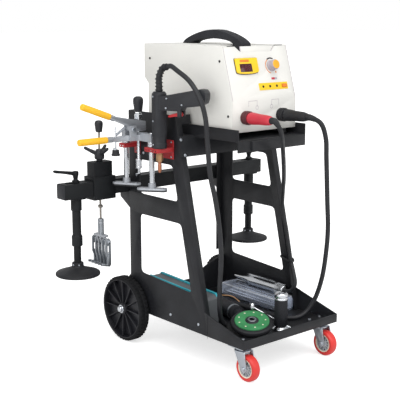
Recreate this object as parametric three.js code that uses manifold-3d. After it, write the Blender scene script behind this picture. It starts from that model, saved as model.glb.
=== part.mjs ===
import * as THREE from 'three';
import { mergeVertices } from 'three/addons/utils/BufferGeometryUtils.js';
import Module from 'manifold-3d';

const wasm = await Module();
wasm.setup();

// A dent pulling spot welder on its trolley. Millimetres; +x is the right side, -y the front, +z up.
// While it is built, the origin is on the floor, straight under the middle of the rear axle.

// Driving dimensions

const FIT = { gap: 0.3, running: 0.5, overrun: 6 };

const ROUND = { fine: 28, medium: 20, coarse: 14, small: 10, cord: 8, corner: 3, arch: 7, hex: 6 };

const WHEEL = {
  radius: 100, width: 35, clearOfPanel: 3.5, tyreDepth: 9, rimWall: 4, hubRadius: 17, hubWidth: 31,
  spokes: 12, spokeWidth: 6, spokeDepth: 26, web: 3, crown: 3,
};

const AXLE = { radius: 8, washer: 13, washerWidth: 3, capRadius: 9.5, capLength: 9 };

const CASTOR = {
  radius: 37.5, width: 26, trail: 22, insetX: 31, fromFront: 38, plate: 58, plateThick: 3, swivelRadius: 22,
  swivelHeight: 9, raceShare: 0.8, crownShare: 0.7, crownRadius: 23, crownThick: 3, cheek: 3, cheekWidth: 26,
  sideGap: 2, axleRadius: 4, headRadius: 7, headThick: 4,
  treadDepth: 8, rimWall: 4, hubRadius: 11, spokes: 6, spokeWidth: 5, web: 8,
};

const PANEL = {
  outer: 187, sheet: 3, bottom: 98, top: 708, legFoot: 359, legTop: 218, legWidth: 45, rearPost: 52,
  railFront: 208, railRear: 222, bandBottom: 402, bandTop: 464, topBand: 566, corner: 14,
  armReach: 48, armNose: 20, armRoot: 49, lobeReach: 28, lobeTop: 205, lobeDrop: 25, lobeFront: 42,
  rearFlange: 25, frontFlange: 20, rearFlangeFoot: 225, tabBottom: 682,
};

const TRAY = { front: 508, rear: 12, lip: 25, lipAtLeg: 68 };

const UPSTAND = {
  end: 205, shoulder: 202, shoulderX: 163, slopeFoot: 181, slopeFootX: 102, middle: 150, middleX: 45,
};

const TOP_TRAY = {
  half: 131, front: 418, floor: 650, lipTop: 680, skirt: 32, apronBottom: 593, waist: 166, rear: 6,
  strap: 60, clampX: -51, clampWidth: 66, clampHeight: 26, clampDepth: 8,
};

const CASE = {
  half: 123, sheet: 2, panelThick: 2.5, front: 385, bottom: 668, kneeZ: 754, topFront: 342, top: 901,
  rearTop: 4, rearStepTop: 802, rearStepBottom: 784, rearBottom: 15, footRadius: 10, footInset: 26,
  notchDepth: 17, notchTop: 80, notchBottom: 60, notchReach: 80, notchWall: 2,
};

const HANDLE = {
  width: 36, rearFoot: 49, rearInner: 89, apex: 41, underside: 15.5, middle: 184, rearSpread: 55,
  frontSpread: 50, rise: 14, frontTop: 308, frontInner: 270, innerRise: 8, innerSpread: 45,
};

const DISPLAY = { x: -48, s: 98, width: 82, height: 38, thick: 6, bulge: 12, windowWidth: 42,
  windowHeight: 20, windowDrop: 4, windowDepth: 2.5 };

const DIAL = { x: 48, s: 93, radius: 14, topRadius: 13.2, height: 22, skirtRadius: 15.5, skirt: 4,
  spindleRadius: 4, pointerWidth: 3, pointerDepth: 1.2 };

const BUTTON = { x: 85, s: 35, width: 18, height: 9, proud: 3, flangeWidth: 2, flangeThick: 2.5 };

const SOCKET = { radius: 16, length: 5, redX: -75, blackX: 62, z: 708 };

const PLUG = {
  collarRadius: 19, collarLength: 15, collarRound: 1, bodyRadius: 16.5, waistRadius: 14.5, waistAt: 52,
  tailRadius: 11, length: 96,
};

const TRANSFORMER = { width: 116, depth: 120, height: 84, y: 150, coilWidth: 78, coilDepth: 154,
  coilHeight: 56 };

const BOARD = { width: 170, depth: 78, thick: 2, y: 330, standoff: 18, pillarRadius: 4, inset: 10 };

const GUN = {
  x: -228, clearOfColumn: 33.5, turn: 25, barrelRadius: 21, barrelBottom: 618, barrelLength: 158, topRound: 5,
  width: 36, blockOut: 78, blockUp: 107, gripRootUp: 144, gripEnd: 128, gripEndUp: 146, gripHalf: 23,
  tailTopOut: 25.3, tailOut: 18.4, tailLowOut: 13.8, rearDrop: 28.8, blockLowOut: 73.3,
};

const TRIGGER = { pivotOut: 68, pivotUp: 96, pivotRadius: 5, length: 38, tipDrop: 8, tipThick: 7, width: 13,
  gap: 3.5 };

const ELECTRODE = { neckRadius: 8, collarRadius: 10, neck: 16, collarEnd: 37, tipRadius: 5.5, shoulder: 62,
  pointRadius: 3, reach: 69 };

const BOOT = { radius: 10.8, valley: 9.2, endShare: 0.82, ribs: 9, straight: 20 };

const BRACKET = { reach: 58, plate: 2.5, lip: 12, uprightBelow: 34, uprightAbove: 20, columnMargin: 14,
  slot: 5, slotPitch: 11 };

const PULLER = {
  x: -230, clearOfBeam: 48, columnPitch: 122, columnRadius: 7.5, bridgeWidth: 17, bridgeBottom: 632,
  bridgeTop: 655, bridgeEnd: 9.5, stopRadius: 11, footTop: 507, barWidth: 7, barTop: 649, barBottom: 633,
  flare: 40,
  gripOut: 99, gripLength: 114, gripRadius: 11, stopScrewOut: 81, stopScrewRadius: 2.5, stopScrewLength: 24,
  stopPadRadius: 10, stopPadTop: 8, stopPadHeight: 15, lugWidth: 22, lugThick: 5, lugTop: 676,
};

const LEVER = {
  pivotOut: 29, pivotZ: 666, pinRadius: 4, width: 20, headTop: 694, headBottom: 659, headEnd: 19,
  headFall: 8, gripOut: 92, gripRise: 36, gripTilt: 20.3, gripLength: 114, slotHalf: 12.5,
};

const PULL_ROD = { radius: 5, couplingRadius: 9, couplingTop: 578, couplingBottom: 550, tipRadius: 3.2,
  bottom: 534, hook: 6, nutRadius: 12, nutTop: 707, lockNutRadius: 9.5, lockNutTop: 713 };

const KNOB = {
  radius: 15, neckRadius: 11, height: 44, lowShare: 0.3, highShare: 0.72, rimShare: 0.94,
  lowRadiusShare: 0.86, rimRadiusShare: 0.8, crownRadiusShare: 0.4,
};

const FOOT = {
  length: 88, width: 26, thick: 6, padThick: 4, endRound: 11.7, bossRadius: 11, bossHeight: 14, socket: 8,
  rearTurn: 31, frontTurn: 38,
};

const SPRING = {
  coilRadius: 3.1, wire: 0.9, wireSides: 5, turns: 13, stepsPerTurn: 8, outLow: 79, outHigh: 47, highZ: 672.5,
};

const BEAM = { size: 44, wall: 3, bottom: 461, behindPost: 3, near: 412, far: 366, slotWidth: 15,
  capWall: 3 };

const CARRIAGE = { x: -277, width: 76, wall: 5, lower: 12, upper: 12, towerWidth: 66, towerDepth: 36,
  towerTop: 560, travelOut: 20, travelIn: 20 };

const SPINDLE = { radius: 3.4, nutRadius: 8, couplingRadius: 9, couplingTop: 387,
  knobBottom: 646, knobHeight: 35, knobRadius: 12.5, knobNeck: 9, rise: 20 };

const WING = {
  collarRadius: 14, collarTop: 588, washerRadius: 9, washer: 6, arms: 3, armReach: 46, armRadius: 5,
  armRootRadius: 7, armTip: 14, hubTop: 596, turn: 30,
};

const CLAW = { pinZ: 322, pinRadius: 4, plates: 5, pitch: 17, plate: 4, headRadius: 9, bodyWidth: 20,
  drop: 78, slotWidth: 8, slotLength: 22, hookReach: 15, hookThick: 6, hookRise: 14, endNut: 7,
  bridgeThick: 6, bridgeHalf: 25.5, earWidth: 18, earThick: 4, mouthRise: 9 };

const LEG = {
  nearX: -362, farX: 330, sleeveRadius: 16, sleeveBottom: 424, tubeRadius: 13, collarTop: 348,
  collarBottom: 317, wall: 1.8, innerRadius: 11, innerTop: 400, neckTop: 267, neckRadius: 17, skirtTop: 254,
  rimRadius: 66, rimTop: 238, bottom: 229, plate: 42, plateThick: 4, studRadius: 4, slide: 26, farSlide: 13,
  retract: 45,
};

const CLAMP = {
  hubRadius: 9, waist: 6, hubHeight: 34, arm: 74, armRise: 14, armRoot: 6, armTip: 4, washer: 3,
  washerRadius: 11, headShare: 0.7, neckShare: 0.9, rootShare: 0.75, farTurn: -60,
};

const BOTTLE = { x: 7, y: -454, radius: 19, neck: 13, flangeRadius: 24, flange: 5, skirt: 13, bodyTop: 90,
  headRadius: 19, height: 110, round: 4 };

const DISC = { x: -66, y: -411, radius: 50, thick: 5, padThick: 16, padRadius: 61, padRound: 5, bore: 9,
  tilt: 15, lean: 40.6 };

const POLISHER = { rearX: -8, rearY: -196, frontX: -36, frontY: -318, radius: 23, round: 6, neckRadius: 9,
  neckX: -43, neckY: -346, headRadius: 19, headHeight: 10 };

const TOOL_BOX = {
  x: -149, rearY: -62, frontY: -318, turn: 3, width: 52, rearTop: 208, frontTop: 192, crown: 9,
};

const TUBES = { x: 137, y: -215, width: 66, length: 262, height: 40, corner: 14 };

const EARTH_CLAMP = {
  x: 155, noseY: -100, tailY: -326, tailRadius: 17, bodyRadius: 15, neckRadius: 8, tipRadius: 4,
  tipLength: 42, neckLength: 34,
};

const CORD = { gunRadius: 6.8, earthRadius: 6.2, gunSteps: 58, earthSteps: 21, straight: 12 };

const TIE = { z: 252, cordX: 171, width: 7, thick: 2, clear: 0.6, room: 2.5 };

// Finishes of the real surfaces

const FINISH = {
  blackPaint: { color: 0x17181b, roughness: 0.5, metalness: 0.3 },
  rubber: { color: 0x1b1b1d, roughness: 0.85, metalness: 0 },
  blackPlastic: { color: 0x222326, roughness: 0.55, metalness: 0 },
  zinc: { color: 0xc9ccd0, roughness: 0.3, metalness: 0.9 },
  chrome: { color: 0xdfe2e5, roughness: 0.15, metalness: 1 },
  cast: { color: 0xb9bcc0, roughness: 0.45, metalness: 0.8 },
  whitePaint: { color: 0xe7e8e6, roughness: 0.4, metalness: 0.1 },
  yellow: { color: 0xe9bd2b, roughness: 0.5, metalness: 0 },
  amber: { color: 0xd99a1c, roughness: 0.45, metalness: 0 },
  redPlastic: { color: 0xb3272d, roughness: 0.45, metalness: 0 },
  redPaint: { color: 0xb32a2a, roughness: 0.45, metalness: 0.2 },
  redTread: { color: 0xd23a34, roughness: 0.4, metalness: 0 },
  copper: { color: 0xb5673a, roughness: 0.35, metalness: 0.9 },
  green: { color: 0x2f9a57, roughness: 0.55, metalness: 0 },
  teal: { color: 0x1c8f92, roughness: 0.5, metalness: 0 },
  board: { color: 0x1d5b37, roughness: 0.6, metalness: 0.1 },
};

// Geometry helpers

const radians = THREE.MathUtils.degToRad;

// Keeps positions only, welds them, drops slivers and turns every face outward.
function clean(geometry) {
  const bare = geometry.clone();
  Object.keys(bare.attributes).forEach((name) => {
    if (name !== 'position') bare.deleteAttribute(name);
  });
  const welded = mergeVertices(bare);
  const old = welded.index.array;
  const p = welded.attributes.position;
  const kept = [];
  const corners = [new THREE.Vector3(), new THREE.Vector3(), new THREE.Vector3()];
  let volume = 0;
  for (let i = 0; i < old.length; i += 3) {
    const [a, b, c] = [old[i], old[i + 1], old[i + 2]];
    if (a === b || b === c || c === a) continue;
    [a, b, c].forEach((v, k) => corners[k].fromBufferAttribute(p, v));
    volume += corners[0].dot(corners[1].cross(corners[2]));
    kept.push(a, b, c);
  }
  if (volume < 0) for (let i = 0; i < kept.length; i += 3) [kept[i], kept[i + 1]] = [kept[i + 1], kept[i]];
  welded.setIndex(kept);
  return welded;
}

function solid(geometry) {
  const g = clean(geometry);
  return new wasm.Manifold(new wasm.Mesh({
    numProp: 3,
    vertProperties: new Float32Array(g.attributes.position.array),
    triVerts: new Uint32Array(g.index.array),
  }));
}

function surface(manifold) {
  const mesh = manifold.getMesh();
  const g = new THREE.BufferGeometry();
  g.setAttribute('position', new THREE.BufferAttribute(new Float32Array(mesh.vertProperties), 3));
  g.setIndex(Array.from(mesh.triVerts));
  return g;
}

const join = (...pieces) => surface(pieces.map(solid).reduce((whole, piece) => whole.add(piece)));
const cut = (base, ...tools) => surface(
  tools.map(solid).reduce((rest, tool) => rest.subtract(tool), solid(base)));
const overlap = (a, b) => surface(solid(a).intersect(solid(b)));
const moved = (geometry, x, y, z) => geometry.clone().translate(x, y, z);
const mirroredX = (geometry) => clean(geometry.clone().scale(-1, 1, 1));

// A box given by its two opposite corners.
function block(x0, x1, y0, y1, z0, z1) {
  const box = new THREE.BoxGeometry(Math.abs(x1 - x0), Math.abs(y1 - y0), Math.abs(z1 - z0));
  return box.translate((x0 + x1) / 2, (y0 + y1) / 2, (z0 + z1) / 2);
}

// A round bar along one axis, from one end to the other, centred on (a, b) of the other two axes.
function bar(axis, radius, from, to, a, b, sides = ROUND.coarse) {
  const g = new THREE.CylinderGeometry(radius, radius, Math.abs(to - from), sides);
  const middle = (from + to) / 2;
  if (axis === 'x') return g.rotateZ(Math.PI / 2).translate(middle, a, b);
  if (axis === 'y') return g.translate(a, middle, b);
  return g.rotateX(Math.PI / 2).translate(a, b, middle);
}

// A turned solid about the z axis from (radius, z) points.
function turned(points, sides = ROUND.medium) {
  const profile = points.map(([r, z]) => new THREE.Vector2(r, z));
  return clean(new THREE.LatheGeometry(profile, sides).rotateX(Math.PI / 2));
}

// A ring about the z axis: the profile closes on itself.
const ring = (points, sides) => turned([...points, points[0]], sides);

// Points in counter-clockwise order, so that holes in them are cut whichever way they run.
function ordered(points) {
  const corners = points.map(([a, b]) => new THREE.Vector2(a, b));
  return THREE.ShapeUtils.area(corners) < 0 ? corners.reverse() : corners;
}

const outline = (points) => new THREE.Shape(ordered(points));

// An outline whose corners are rounded.
function softOutline(points, radius, Kind = THREE.Shape) {
  const shape = new Kind();
  const corners = ordered(points);
  corners.forEach((corner, i) => {
    const before = corners[(i + corners.length - 1) % corners.length];
    const after = corners[(i + 1) % corners.length];
    const start = corner.clone().add(before.clone().sub(corner).setLength(radius));
    const end = corner.clone().add(after.clone().sub(corner).setLength(radius));
    if (i === 0) shape.moveTo(start.x, start.y);
    else shape.lineTo(start.x, start.y);
    shape.quadraticCurveTo(corner.x, corner.y, end.x, end.y);
  });
  shape.closePath();
  return shape;
}

const extruded = (shape, depth, curveSegments = ROUND.corner) => new THREE.ExtrudeGeometry(shape, {
  depth, bevelEnabled: false, curveSegments,
});

const axes = (x, y, z) => new THREE.Matrix4().makeBasis(new THREE.Vector3(...x), new THREE.Vector3(...y),
  new THREE.Vector3(...z));

// A shape drawn in (y, z), filled from x0 to x1.
const acrossX = (shape, x0, x1, curveSegments) => extruded(shape, x1 - x0, curveSegments)
  .applyMatrix4(axes([0, 1, 0], [0, 0, 1], [1, 0, 0])).translate(x0, 0, 0);

// A shape drawn in (x, z), filled from y0 to y1.
const acrossY = (shape, y0, y1, curveSegments) => extruded(shape, y1 - y0, curveSegments)
  .applyMatrix4(axes([1, 0, 0], [0, 0, 1], [0, -1, 0])).translate(0, y1, 0);

// A shape drawn in (x, y), filled from z0 to z1.
const acrossZ = (shape, z0, z1) => extruded(shape, z1 - z0).translate(0, 0, z0);

const polygon = (radius, sides) => outline(Array.from({ length: sides }, (_, i) => {
  const a = (2 * Math.PI * i) / sides;
  return [radius * Math.cos(a), radius * Math.sin(a)];
}));

const routeOf = (points, closed = false) => new THREE.CatmullRomCurve3(
  points.map(([x, y, z]) => new THREE.Vector3(x, y, z)), closed, 'centripetal');

// A tube of one radius along a route.
const cordAlong = (route, radius, steps) => new THREE.ExtrudeGeometry(polygon(radius, ROUND.cord), {
  steps, extrudePath: route, bevelEnabled: false,
});

// A closed tube of rings whose radius changes along the route.
function ringsAlong(route, radii, sides) {
  const steps = radii.length - 1;
  const frames = route.computeFrenetFrames(steps, false);
  const position = [];
  const index = [];
  radii.forEach((radius, i) => {
    const centre = route.getPointAt(i / steps);
    for (let j = 0; j < sides; j++) {
      const a = (2 * Math.PI * j) / sides;
      const p = centre.clone().addScaledVector(frames.normals[i], radius * Math.cos(a))
        .addScaledVector(frames.binormals[i], radius * Math.sin(a));
      position.push(p.x, p.y, p.z);
      if (i === 0) continue;
      const [a0, b0] = [(i - 1) * sides + j, (i - 1) * sides + (j + 1) % sides];
      const [a1, b1] = [a0 + sides, b0 + sides];
      index.push(a0, a1, b0, b0, a1, b1);
    }
  });
  [0, steps].forEach((i) => {
    const centre = route.getPointAt(i / steps);
    const hub = position.length / 3;
    position.push(centre.x, centre.y, centre.z);
    for (let j = 0; j < sides; j++) {
      const [p, q] = [i * sides + j, i * sides + (j + 1) % sides];
      index.push(hub, ...(i === 0 ? [p, q] : [q, p]));
    }
  });
  const g = new THREE.BufferGeometry();
  g.setAttribute('position', new THREE.BufferAttribute(new Float32Array(position), 3));
  g.setIndex(index);
  return clean(g);
}

// A straight bar between two points.
function strut(from, to, radiusFrom, radiusTo, sides = ROUND.small) {
  const [a, b] = [new THREE.Vector3(...from), new THREE.Vector3(...to)];
  const along = b.clone().sub(a);
  const g = new THREE.CylinderGeometry(radiusTo, radiusFrom, along.length(), sides);
  g.applyQuaternion(new THREE.Quaternion().setFromUnitVectors(new THREE.Vector3(0, 1, 0), along.normalize()));
  return g.translate((a.x + b.x) / 2, (a.y + b.y) / 2, (a.z + b.z) / 2);
}

const machine = new THREE.Group();

function part(name, geometry, finish, parent = machine) {
  const mesh = new THREE.Mesh(clean(geometry), new THREE.MeshStandardMaterial(finish));
  mesh.name = name;
  parent.add(mesh);
  return mesh;
}

const SIDES = [['left', -1], ['right', 1]];

// Derived places shared by several pieces

const panelInner = PANEL.outer - PANEL.sheet;
const betweenPanels = panelInner - FIT.gap;
const trayFloor = PANEL.bottom + PANEL.sheet;
const legLean = (PANEL.legFoot - PANEL.legTop) / (PANEL.top - PANEL.bottom);
const legY = (z) => -(PANEL.legFoot - (z - PANEL.bottom) * legLean);
const beamTop = BEAM.bottom + BEAM.size;
const beamY = BEAM.behindPost + BEAM.size / 2;
const tyreInner = PANEL.outer + WHEEL.clearOfPanel;
const wheelX = tyreInner + WHEEL.width / 2;
const castorX = PANEL.outer - CASTOR.insetX;
const castorY = -(TRAY.front - CASTOR.fromFront);
const columnRear = BEAM.behindPost - PULLER.clearOfBeam;
const columnY = [columnRear, columnRear - PULLER.columnPitch];
const pullerY = (columnY[0] + columnY[1]) / 2;
const gunY = columnY[1] - GUN.clearOfColumn;
const shelf = GUN.barrelBottom - FIT.gap;
const barrelTop = GUN.barrelBottom + GUN.barrelLength;
const blockBottom = GUN.barrelBottom + GUN.blockUp;
const triggerZ = GUN.barrelBottom + TRIGGER.pivotUp;

// Trolley

function sidePanel() {
  const armTop = BEAM.bottom - FIT.gap;
  const skin = softOutline([
    [legY(PANEL.bottom), PANEL.bottom], [legY(PANEL.top), PANEL.top], [0, PANEL.top], [0, armTop],
    [PANEL.armReach, armTop], [PANEL.armReach, armTop - PANEL.armNose], [0, armTop - PANEL.armRoot],
    [0, PANEL.lobeTop], [PANEL.lobeReach, PANEL.lobeTop - PANEL.lobeDrop],
    [PANEL.lobeReach, PANEL.bottom - PANEL.lobeDrop], [-PANEL.lobeFront, PANEL.bottom - PANEL.lobeDrop],
    [-PANEL.lobeFront - PANEL.lobeDrop, PANEL.bottom],
  ], PANEL.sheet);
  const legBack = (z) => legY(z) + PANEL.legWidth;
  skin.holes.push(
    softOutline([[-PANEL.rearPost, PANEL.bandTop], [legBack(PANEL.bandTop), PANEL.bandTop],
      [legBack(PANEL.topBand), PANEL.topBand], [-PANEL.rearPost, PANEL.topBand]], PANEL.corner, THREE.Path),
    softOutline([[-PANEL.rearPost, PANEL.railRear], [legBack(PANEL.railFront), PANEL.railFront],
      [legBack(PANEL.bandBottom), PANEL.bandBottom],
      [-PANEL.rearPost, PANEL.bandBottom]], PANEL.corner, THREE.Path),
  );
  const sheet = acrossX(skin, panelInner, PANEL.outer);
  const weld = panelInner + PANEL.sheet / 2;
  const foot = trayFloor + FIT.gap;
  const frontFlange = acrossX(outline([
    [legY(foot), foot], [legY(PANEL.top), PANEL.top], [legY(PANEL.top) + PANEL.sheet, PANEL.top],
    [legY(foot) + PANEL.sheet, foot]]), PANEL.outer - PANEL.frontFlange, weld);
  const rearFlange = block(PANEL.outer - PANEL.rearFlange, weld, -PANEL.sheet, 0,
    PANEL.rearFlangeFoot, PANEL.top);
  const tab = acrossX(outline([
    [legY(PANEL.tabBottom), PANEL.tabBottom], [legY(PANEL.top), PANEL.top],
    [legY(PANEL.top) + PANEL.sheet, PANEL.top],
    [legY(PANEL.tabBottom) + PANEL.sheet, PANEL.tabBottom]]), TOP_TRAY.half + FIT.gap, weld);
  const axleHole = bar('x', AXLE.radius + FIT.running, panelInner - FIT.overrun, PANEL.outer + FIT.overrun,
    0, WHEEL.radius);
  return cut(join(sheet, frontFlange, rearFlange, tab), axleHole);
}

SIDES.forEach(([side, sign]) => {
  const geometry = sidePanel();
  part(`side_panel_${side}`, sign > 0 ? geometry : mirroredX(geometry), FINISH.blackPaint);
});

function baseTray() {
  const seam = legY(PANEL.bottom) - FIT.gap;
  const floor = join(
    block(-PANEL.outer, PANEL.outer, -TRAY.front, seam, PANEL.bottom, trayFloor),
    block(-betweenPanels, betweenPanels, seam - FIT.overrun, -TRAY.rear, PANEL.bottom, trayFloor));
  const lipTop = PANEL.bottom + TRAY.lip;
  const frontLip = block(-PANEL.outer, PANEL.outer, -TRAY.front, -TRAY.front + PANEL.sheet,
    PANEL.bottom, lipTop);
  const legLip = PANEL.bottom + TRAY.lipAtLeg;
  const sideLip = outline([[-TRAY.front, PANEL.bottom], [-TRAY.front, lipTop],
    [legY(legLip) - FIT.gap, legLip], [seam, PANEL.bottom]]);
  return join(floor, frontLip, acrossX(sideLip, panelInner, PANEL.outer),
    acrossX(sideLip, -PANEL.outer, -panelInner), rearUpstand());
}

// The tray's rear wall, low in the middle and raised to gussets at both panels.
function rearUpstand() {
  const half = [[betweenPanels, UPSTAND.end], [UPSTAND.shoulderX, UPSTAND.shoulder],
    [UPSTAND.slopeFootX, UPSTAND.slopeFoot], [UPSTAND.middleX, UPSTAND.middle]];
  const shape = outline([[-betweenPanels, PANEL.bottom], [betweenPanels, PANEL.bottom], ...half,
    ...half.map(([x, z]) => [-x, z]).reverse()]);
  return acrossY(shape, -TRAY.rear - PANEL.sheet, -TRAY.rear);
}

part('base_tray', baseTray(), FINISH.blackPaint);

function topTray() {
  const under = TOP_TRAY.floor - PANEL.sheet;
  const waist = TOP_TRAY.waist - FIT.gap;
  const deck = join(
    block(-waist, waist, legY(under) - PANEL.sheet, -TOP_TRAY.rear, under, TOP_TRAY.floor),
    block(-TOP_TRAY.half, TOP_TRAY.half, -TOP_TRAY.front, -TOP_TRAY.rear, under, TOP_TRAY.floor),
    block(-betweenPanels, betweenPanels, -TOP_TRAY.rear - TOP_TRAY.strap, -TOP_TRAY.rear, under,
      TOP_TRAY.floor));
  const lip = block(TOP_TRAY.half - PANEL.sheet, TOP_TRAY.half, -TOP_TRAY.front, -TOP_TRAY.rear, under,
    TOP_TRAY.lipTop);
  const skirt = block(-TOP_TRAY.half, TOP_TRAY.half, -TOP_TRAY.front, -TOP_TRAY.front + PANEL.sheet,
    TOP_TRAY.floor - TOP_TRAY.skirt, TOP_TRAY.floor);
  const face = (z) => legY(z) - FIT.gap;
  const apron = acrossX(outline([
    [face(TOP_TRAY.apronBottom), TOP_TRAY.apronBottom], [face(TOP_TRAY.floor), TOP_TRAY.floor],
    [face(TOP_TRAY.floor) - PANEL.sheet, TOP_TRAY.floor],
    [face(TOP_TRAY.apronBottom) - PANEL.sheet, TOP_TRAY.apronBottom]]), -PANEL.outer, PANEL.outer);
  const clampBottom = TOP_TRAY.floor - TOP_TRAY.skirt + PANEL.sheet;
  const clamp = block(TOP_TRAY.clampX - TOP_TRAY.clampWidth / 2, TOP_TRAY.clampX + TOP_TRAY.clampWidth / 2,
    -TOP_TRAY.front - TOP_TRAY.clampDepth, -TOP_TRAY.front + PANEL.sheet, clampBottom,
    clampBottom + TOP_TRAY.clampHeight);
  return join(deck, lip, mirroredX(lip), skirt, apron, clamp);
}

part('top_tray', topTray(), FINISH.blackPaint);

// Rear wheels

function wheelRim() {
  const half = WHEEL.width / 2;
  const seat = WHEEL.radius - WHEEL.tyreDepth;
  const inner = seat - WHEEL.rimWall;
  const band = ring([[seat, -half], [seat, half], [inner, half], [inner, -half]], ROUND.fine);
  const hub = bar('z', WHEEL.hubRadius, -WHEEL.hubWidth / 2, WHEEL.hubWidth / 2, 0, 0, ROUND.coarse);
  const reach = seat - WHEEL.rimWall / 2;
  const spokes = Array.from({ length: WHEEL.spokes }, (_, i) => block(WHEEL.hubRadius / 2, reach,
    -WHEEL.spokeWidth / 2, WHEEL.spokeWidth / 2, -WHEEL.spokeDepth / 2, WHEEL.spokeDepth / 2)
    .rotateZ((2 * Math.PI * i) / WHEEL.spokes));
  const bore = bar('z', AXLE.radius + FIT.running, -WHEEL.width, WHEEL.width, 0, 0, ROUND.coarse);
  const web = bar('z', reach, -WHEEL.web / 2, WHEEL.web / 2, 0, 0, ROUND.fine);
  return cut(join(band, hub, web, ...spokes), bore).rotateY(Math.PI / 2);
}

function wheelTyre() {
  const half = WHEEL.width / 2;
  const seat = WHEEL.radius - WHEEL.tyreDepth + FIT.gap;
  const shoulder = half - WHEEL.crown;
  return ring([[seat, -half], [WHEEL.radius - WHEEL.crown * 2, -half], [WHEEL.radius, -shoulder],
    [WHEEL.radius, shoulder], [WHEEL.radius - WHEEL.crown * 2, half], [seat, half]], ROUND.fine)
    .rotateY(Math.PI / 2);
}

function rearAxle() {
  const outerHub = wheelX + WHEEL.hubWidth / 2 + FIT.running;
  const end = outerHub + AXLE.washerWidth + AXLE.capLength;
  const innerHub = wheelX - WHEEL.hubWidth / 2 - FIT.running;
  const collars = SIDES.flatMap(([, sign]) => [
    bar('x', AXLE.washer, sign * outerHub, sign * (outerHub + AXLE.washerWidth), 0, WHEEL.radius),
    bar('x', AXLE.capRadius, sign * outerHub, sign * end, 0, WHEEL.radius),
    bar('x', AXLE.washer, sign * (PANEL.outer + FIT.gap), sign * innerHub, 0, WHEEL.radius),
  ]);
  const shaftEnd = outerHub + AXLE.washerWidth;
  return join(bar('x', AXLE.radius, -shaftEnd, shaftEnd, 0, WHEEL.radius), ...collars);
}

part('rear_axle', rearAxle(), FINISH.zinc);

SIDES.forEach(([side, sign]) => {
  const wheel = new THREE.Group();
  wheel.position.set(sign * wheelX, 0, WHEEL.radius);
  machine.add(wheel);
  part(`rear_wheel_rim_${side}`, wheelRim(), FINISH.blackPlastic, wheel);
  part(`rear_wheel_tyre_${side}`, wheelTyre(), FINISH.rubber, wheel);
});

// Castors: the swivel axis is the origin of each group

const castorTop = PANEL.bottom - FIT.gap;
const plateUnder = castorTop - CASTOR.plateThick;
const crownTop = plateUnder - CASTOR.swivelHeight - FIT.gap;
const cheekX = CASTOR.width / 2 + CASTOR.sideGap;

function castorPlate() {
  const half = CASTOR.plate / 2;
  const raceBottom = plateUnder - CASTOR.swivelHeight;
  const race = turned([[0, raceBottom], [CASTOR.swivelRadius * CASTOR.raceShare, raceBottom],
    [CASTOR.swivelRadius, (plateUnder + raceBottom) / 2], [CASTOR.swivelRadius, plateUnder + FIT.gap],
    [0, plateUnder + FIT.gap]]);
  return join(block(-half, half, -half, half, plateUnder, castorTop), race);
}

function castorFork() {
  const crown = bar('z', CASTOR.crownRadius, crownTop - CASTOR.crownThick, crownTop, 0, 0, ROUND.medium);
  const cheekShape = outline([
    [CASTOR.crownRadius * CASTOR.crownShare, crownTop], [-CASTOR.crownRadius, crownTop],
    [-CASTOR.trail - CASTOR.cheekWidth / 2, CASTOR.radius],
    [-CASTOR.trail, CASTOR.radius - CASTOR.cheekWidth / 2],
    [-CASTOR.trail + CASTOR.cheekWidth / 2, CASTOR.radius]]);
  const cheek = acrossX(cheekShape, cheekX, cheekX + CASTOR.cheek);
  const head = bar('x', CASTOR.headRadius, cheekX, cheekX + CASTOR.cheek + CASTOR.headThick, -CASTOR.trail,
    CASTOR.radius);
  const pinEnd = cheekX + CASTOR.cheek / 2;
  const pin = bar('x', CASTOR.axleRadius, -pinEnd, pinEnd, -CASTOR.trail, CASTOR.radius, ROUND.small);
  return join(crown, cheek, mirroredX(cheek), head, mirroredX(head), pin);
}

function castorWheel() {
  const half = CASTOR.width / 2;
  const seat = CASTOR.radius - CASTOR.treadDepth;
  const tread = ring([[seat - CASTOR.rimWall, -half], [CASTOR.radius - CASTOR.rimWall, -half],
    [CASTOR.radius, -half + CASTOR.rimWall], [CASTOR.radius, half - CASTOR.rimWall],
    [CASTOR.radius - CASTOR.rimWall, half], [seat - CASTOR.rimWall, half]], ROUND.medium);
  const hub = bar('z', CASTOR.hubRadius, -half, half, 0, 0, ROUND.coarse);
  const spokes = Array.from({ length: CASTOR.spokes }, (_, i) => block(
    CASTOR.hubRadius / 2, seat - CASTOR.rimWall / 2, -CASTOR.spokeWidth / 2, CASTOR.spokeWidth / 2,
    -CASTOR.web / 2, CASTOR.web / 2).rotateZ((2 * Math.PI * i) / CASTOR.spokes));
  const bore = bar('z', CASTOR.axleRadius + FIT.running, -CASTOR.width, CASTOR.width, 0, 0, ROUND.small);
  return cut(join(tread, hub, ...spokes), bore).rotateY(Math.PI / 2);
}

SIDES.forEach(([side, sign]) => {
  const castor = new THREE.Group();
  castor.position.set(sign * castorX, castorY, 0);
  machine.add(castor);
  part(`castor_plate_${side}`, castorPlate(), FINISH.zinc, castor);
  part(`castor_fork_${side}`, castorFork(), FINISH.zinc, castor);
  const wheel = part(`castor_wheel_${side}`, castorWheel(), FINISH.redTread, castor);
  wheel.position.set(0, -CASTOR.trail, CASTOR.radius);
});

// Welding machine

const caseInner = CASE.half - CASE.sheet;
const insideCover = caseInner - FIT.gap;
const slope = Math.atan2(CASE.front - CASE.topFront, CASE.top - CASE.kneeZ);
const frontAt = (z) => (z <= CASE.kneeZ ? -CASE.front
  : -CASE.front + (z - CASE.kneeZ) * Math.tan(slope));

function caseOutline(roof) {
  return [[-CASE.front, CASE.bottom], [-CASE.front, CASE.kneeZ], [frontAt(roof), roof],
    [CASE.rearTop, roof], [CASE.rearTop, CASE.rearStepTop], [-CASE.rearBottom, CASE.rearStepBottom],
    [-CASE.rearBottom, CASE.bottom]];
}

const notchFloor = CASE.top - CASE.notchDepth;

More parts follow.
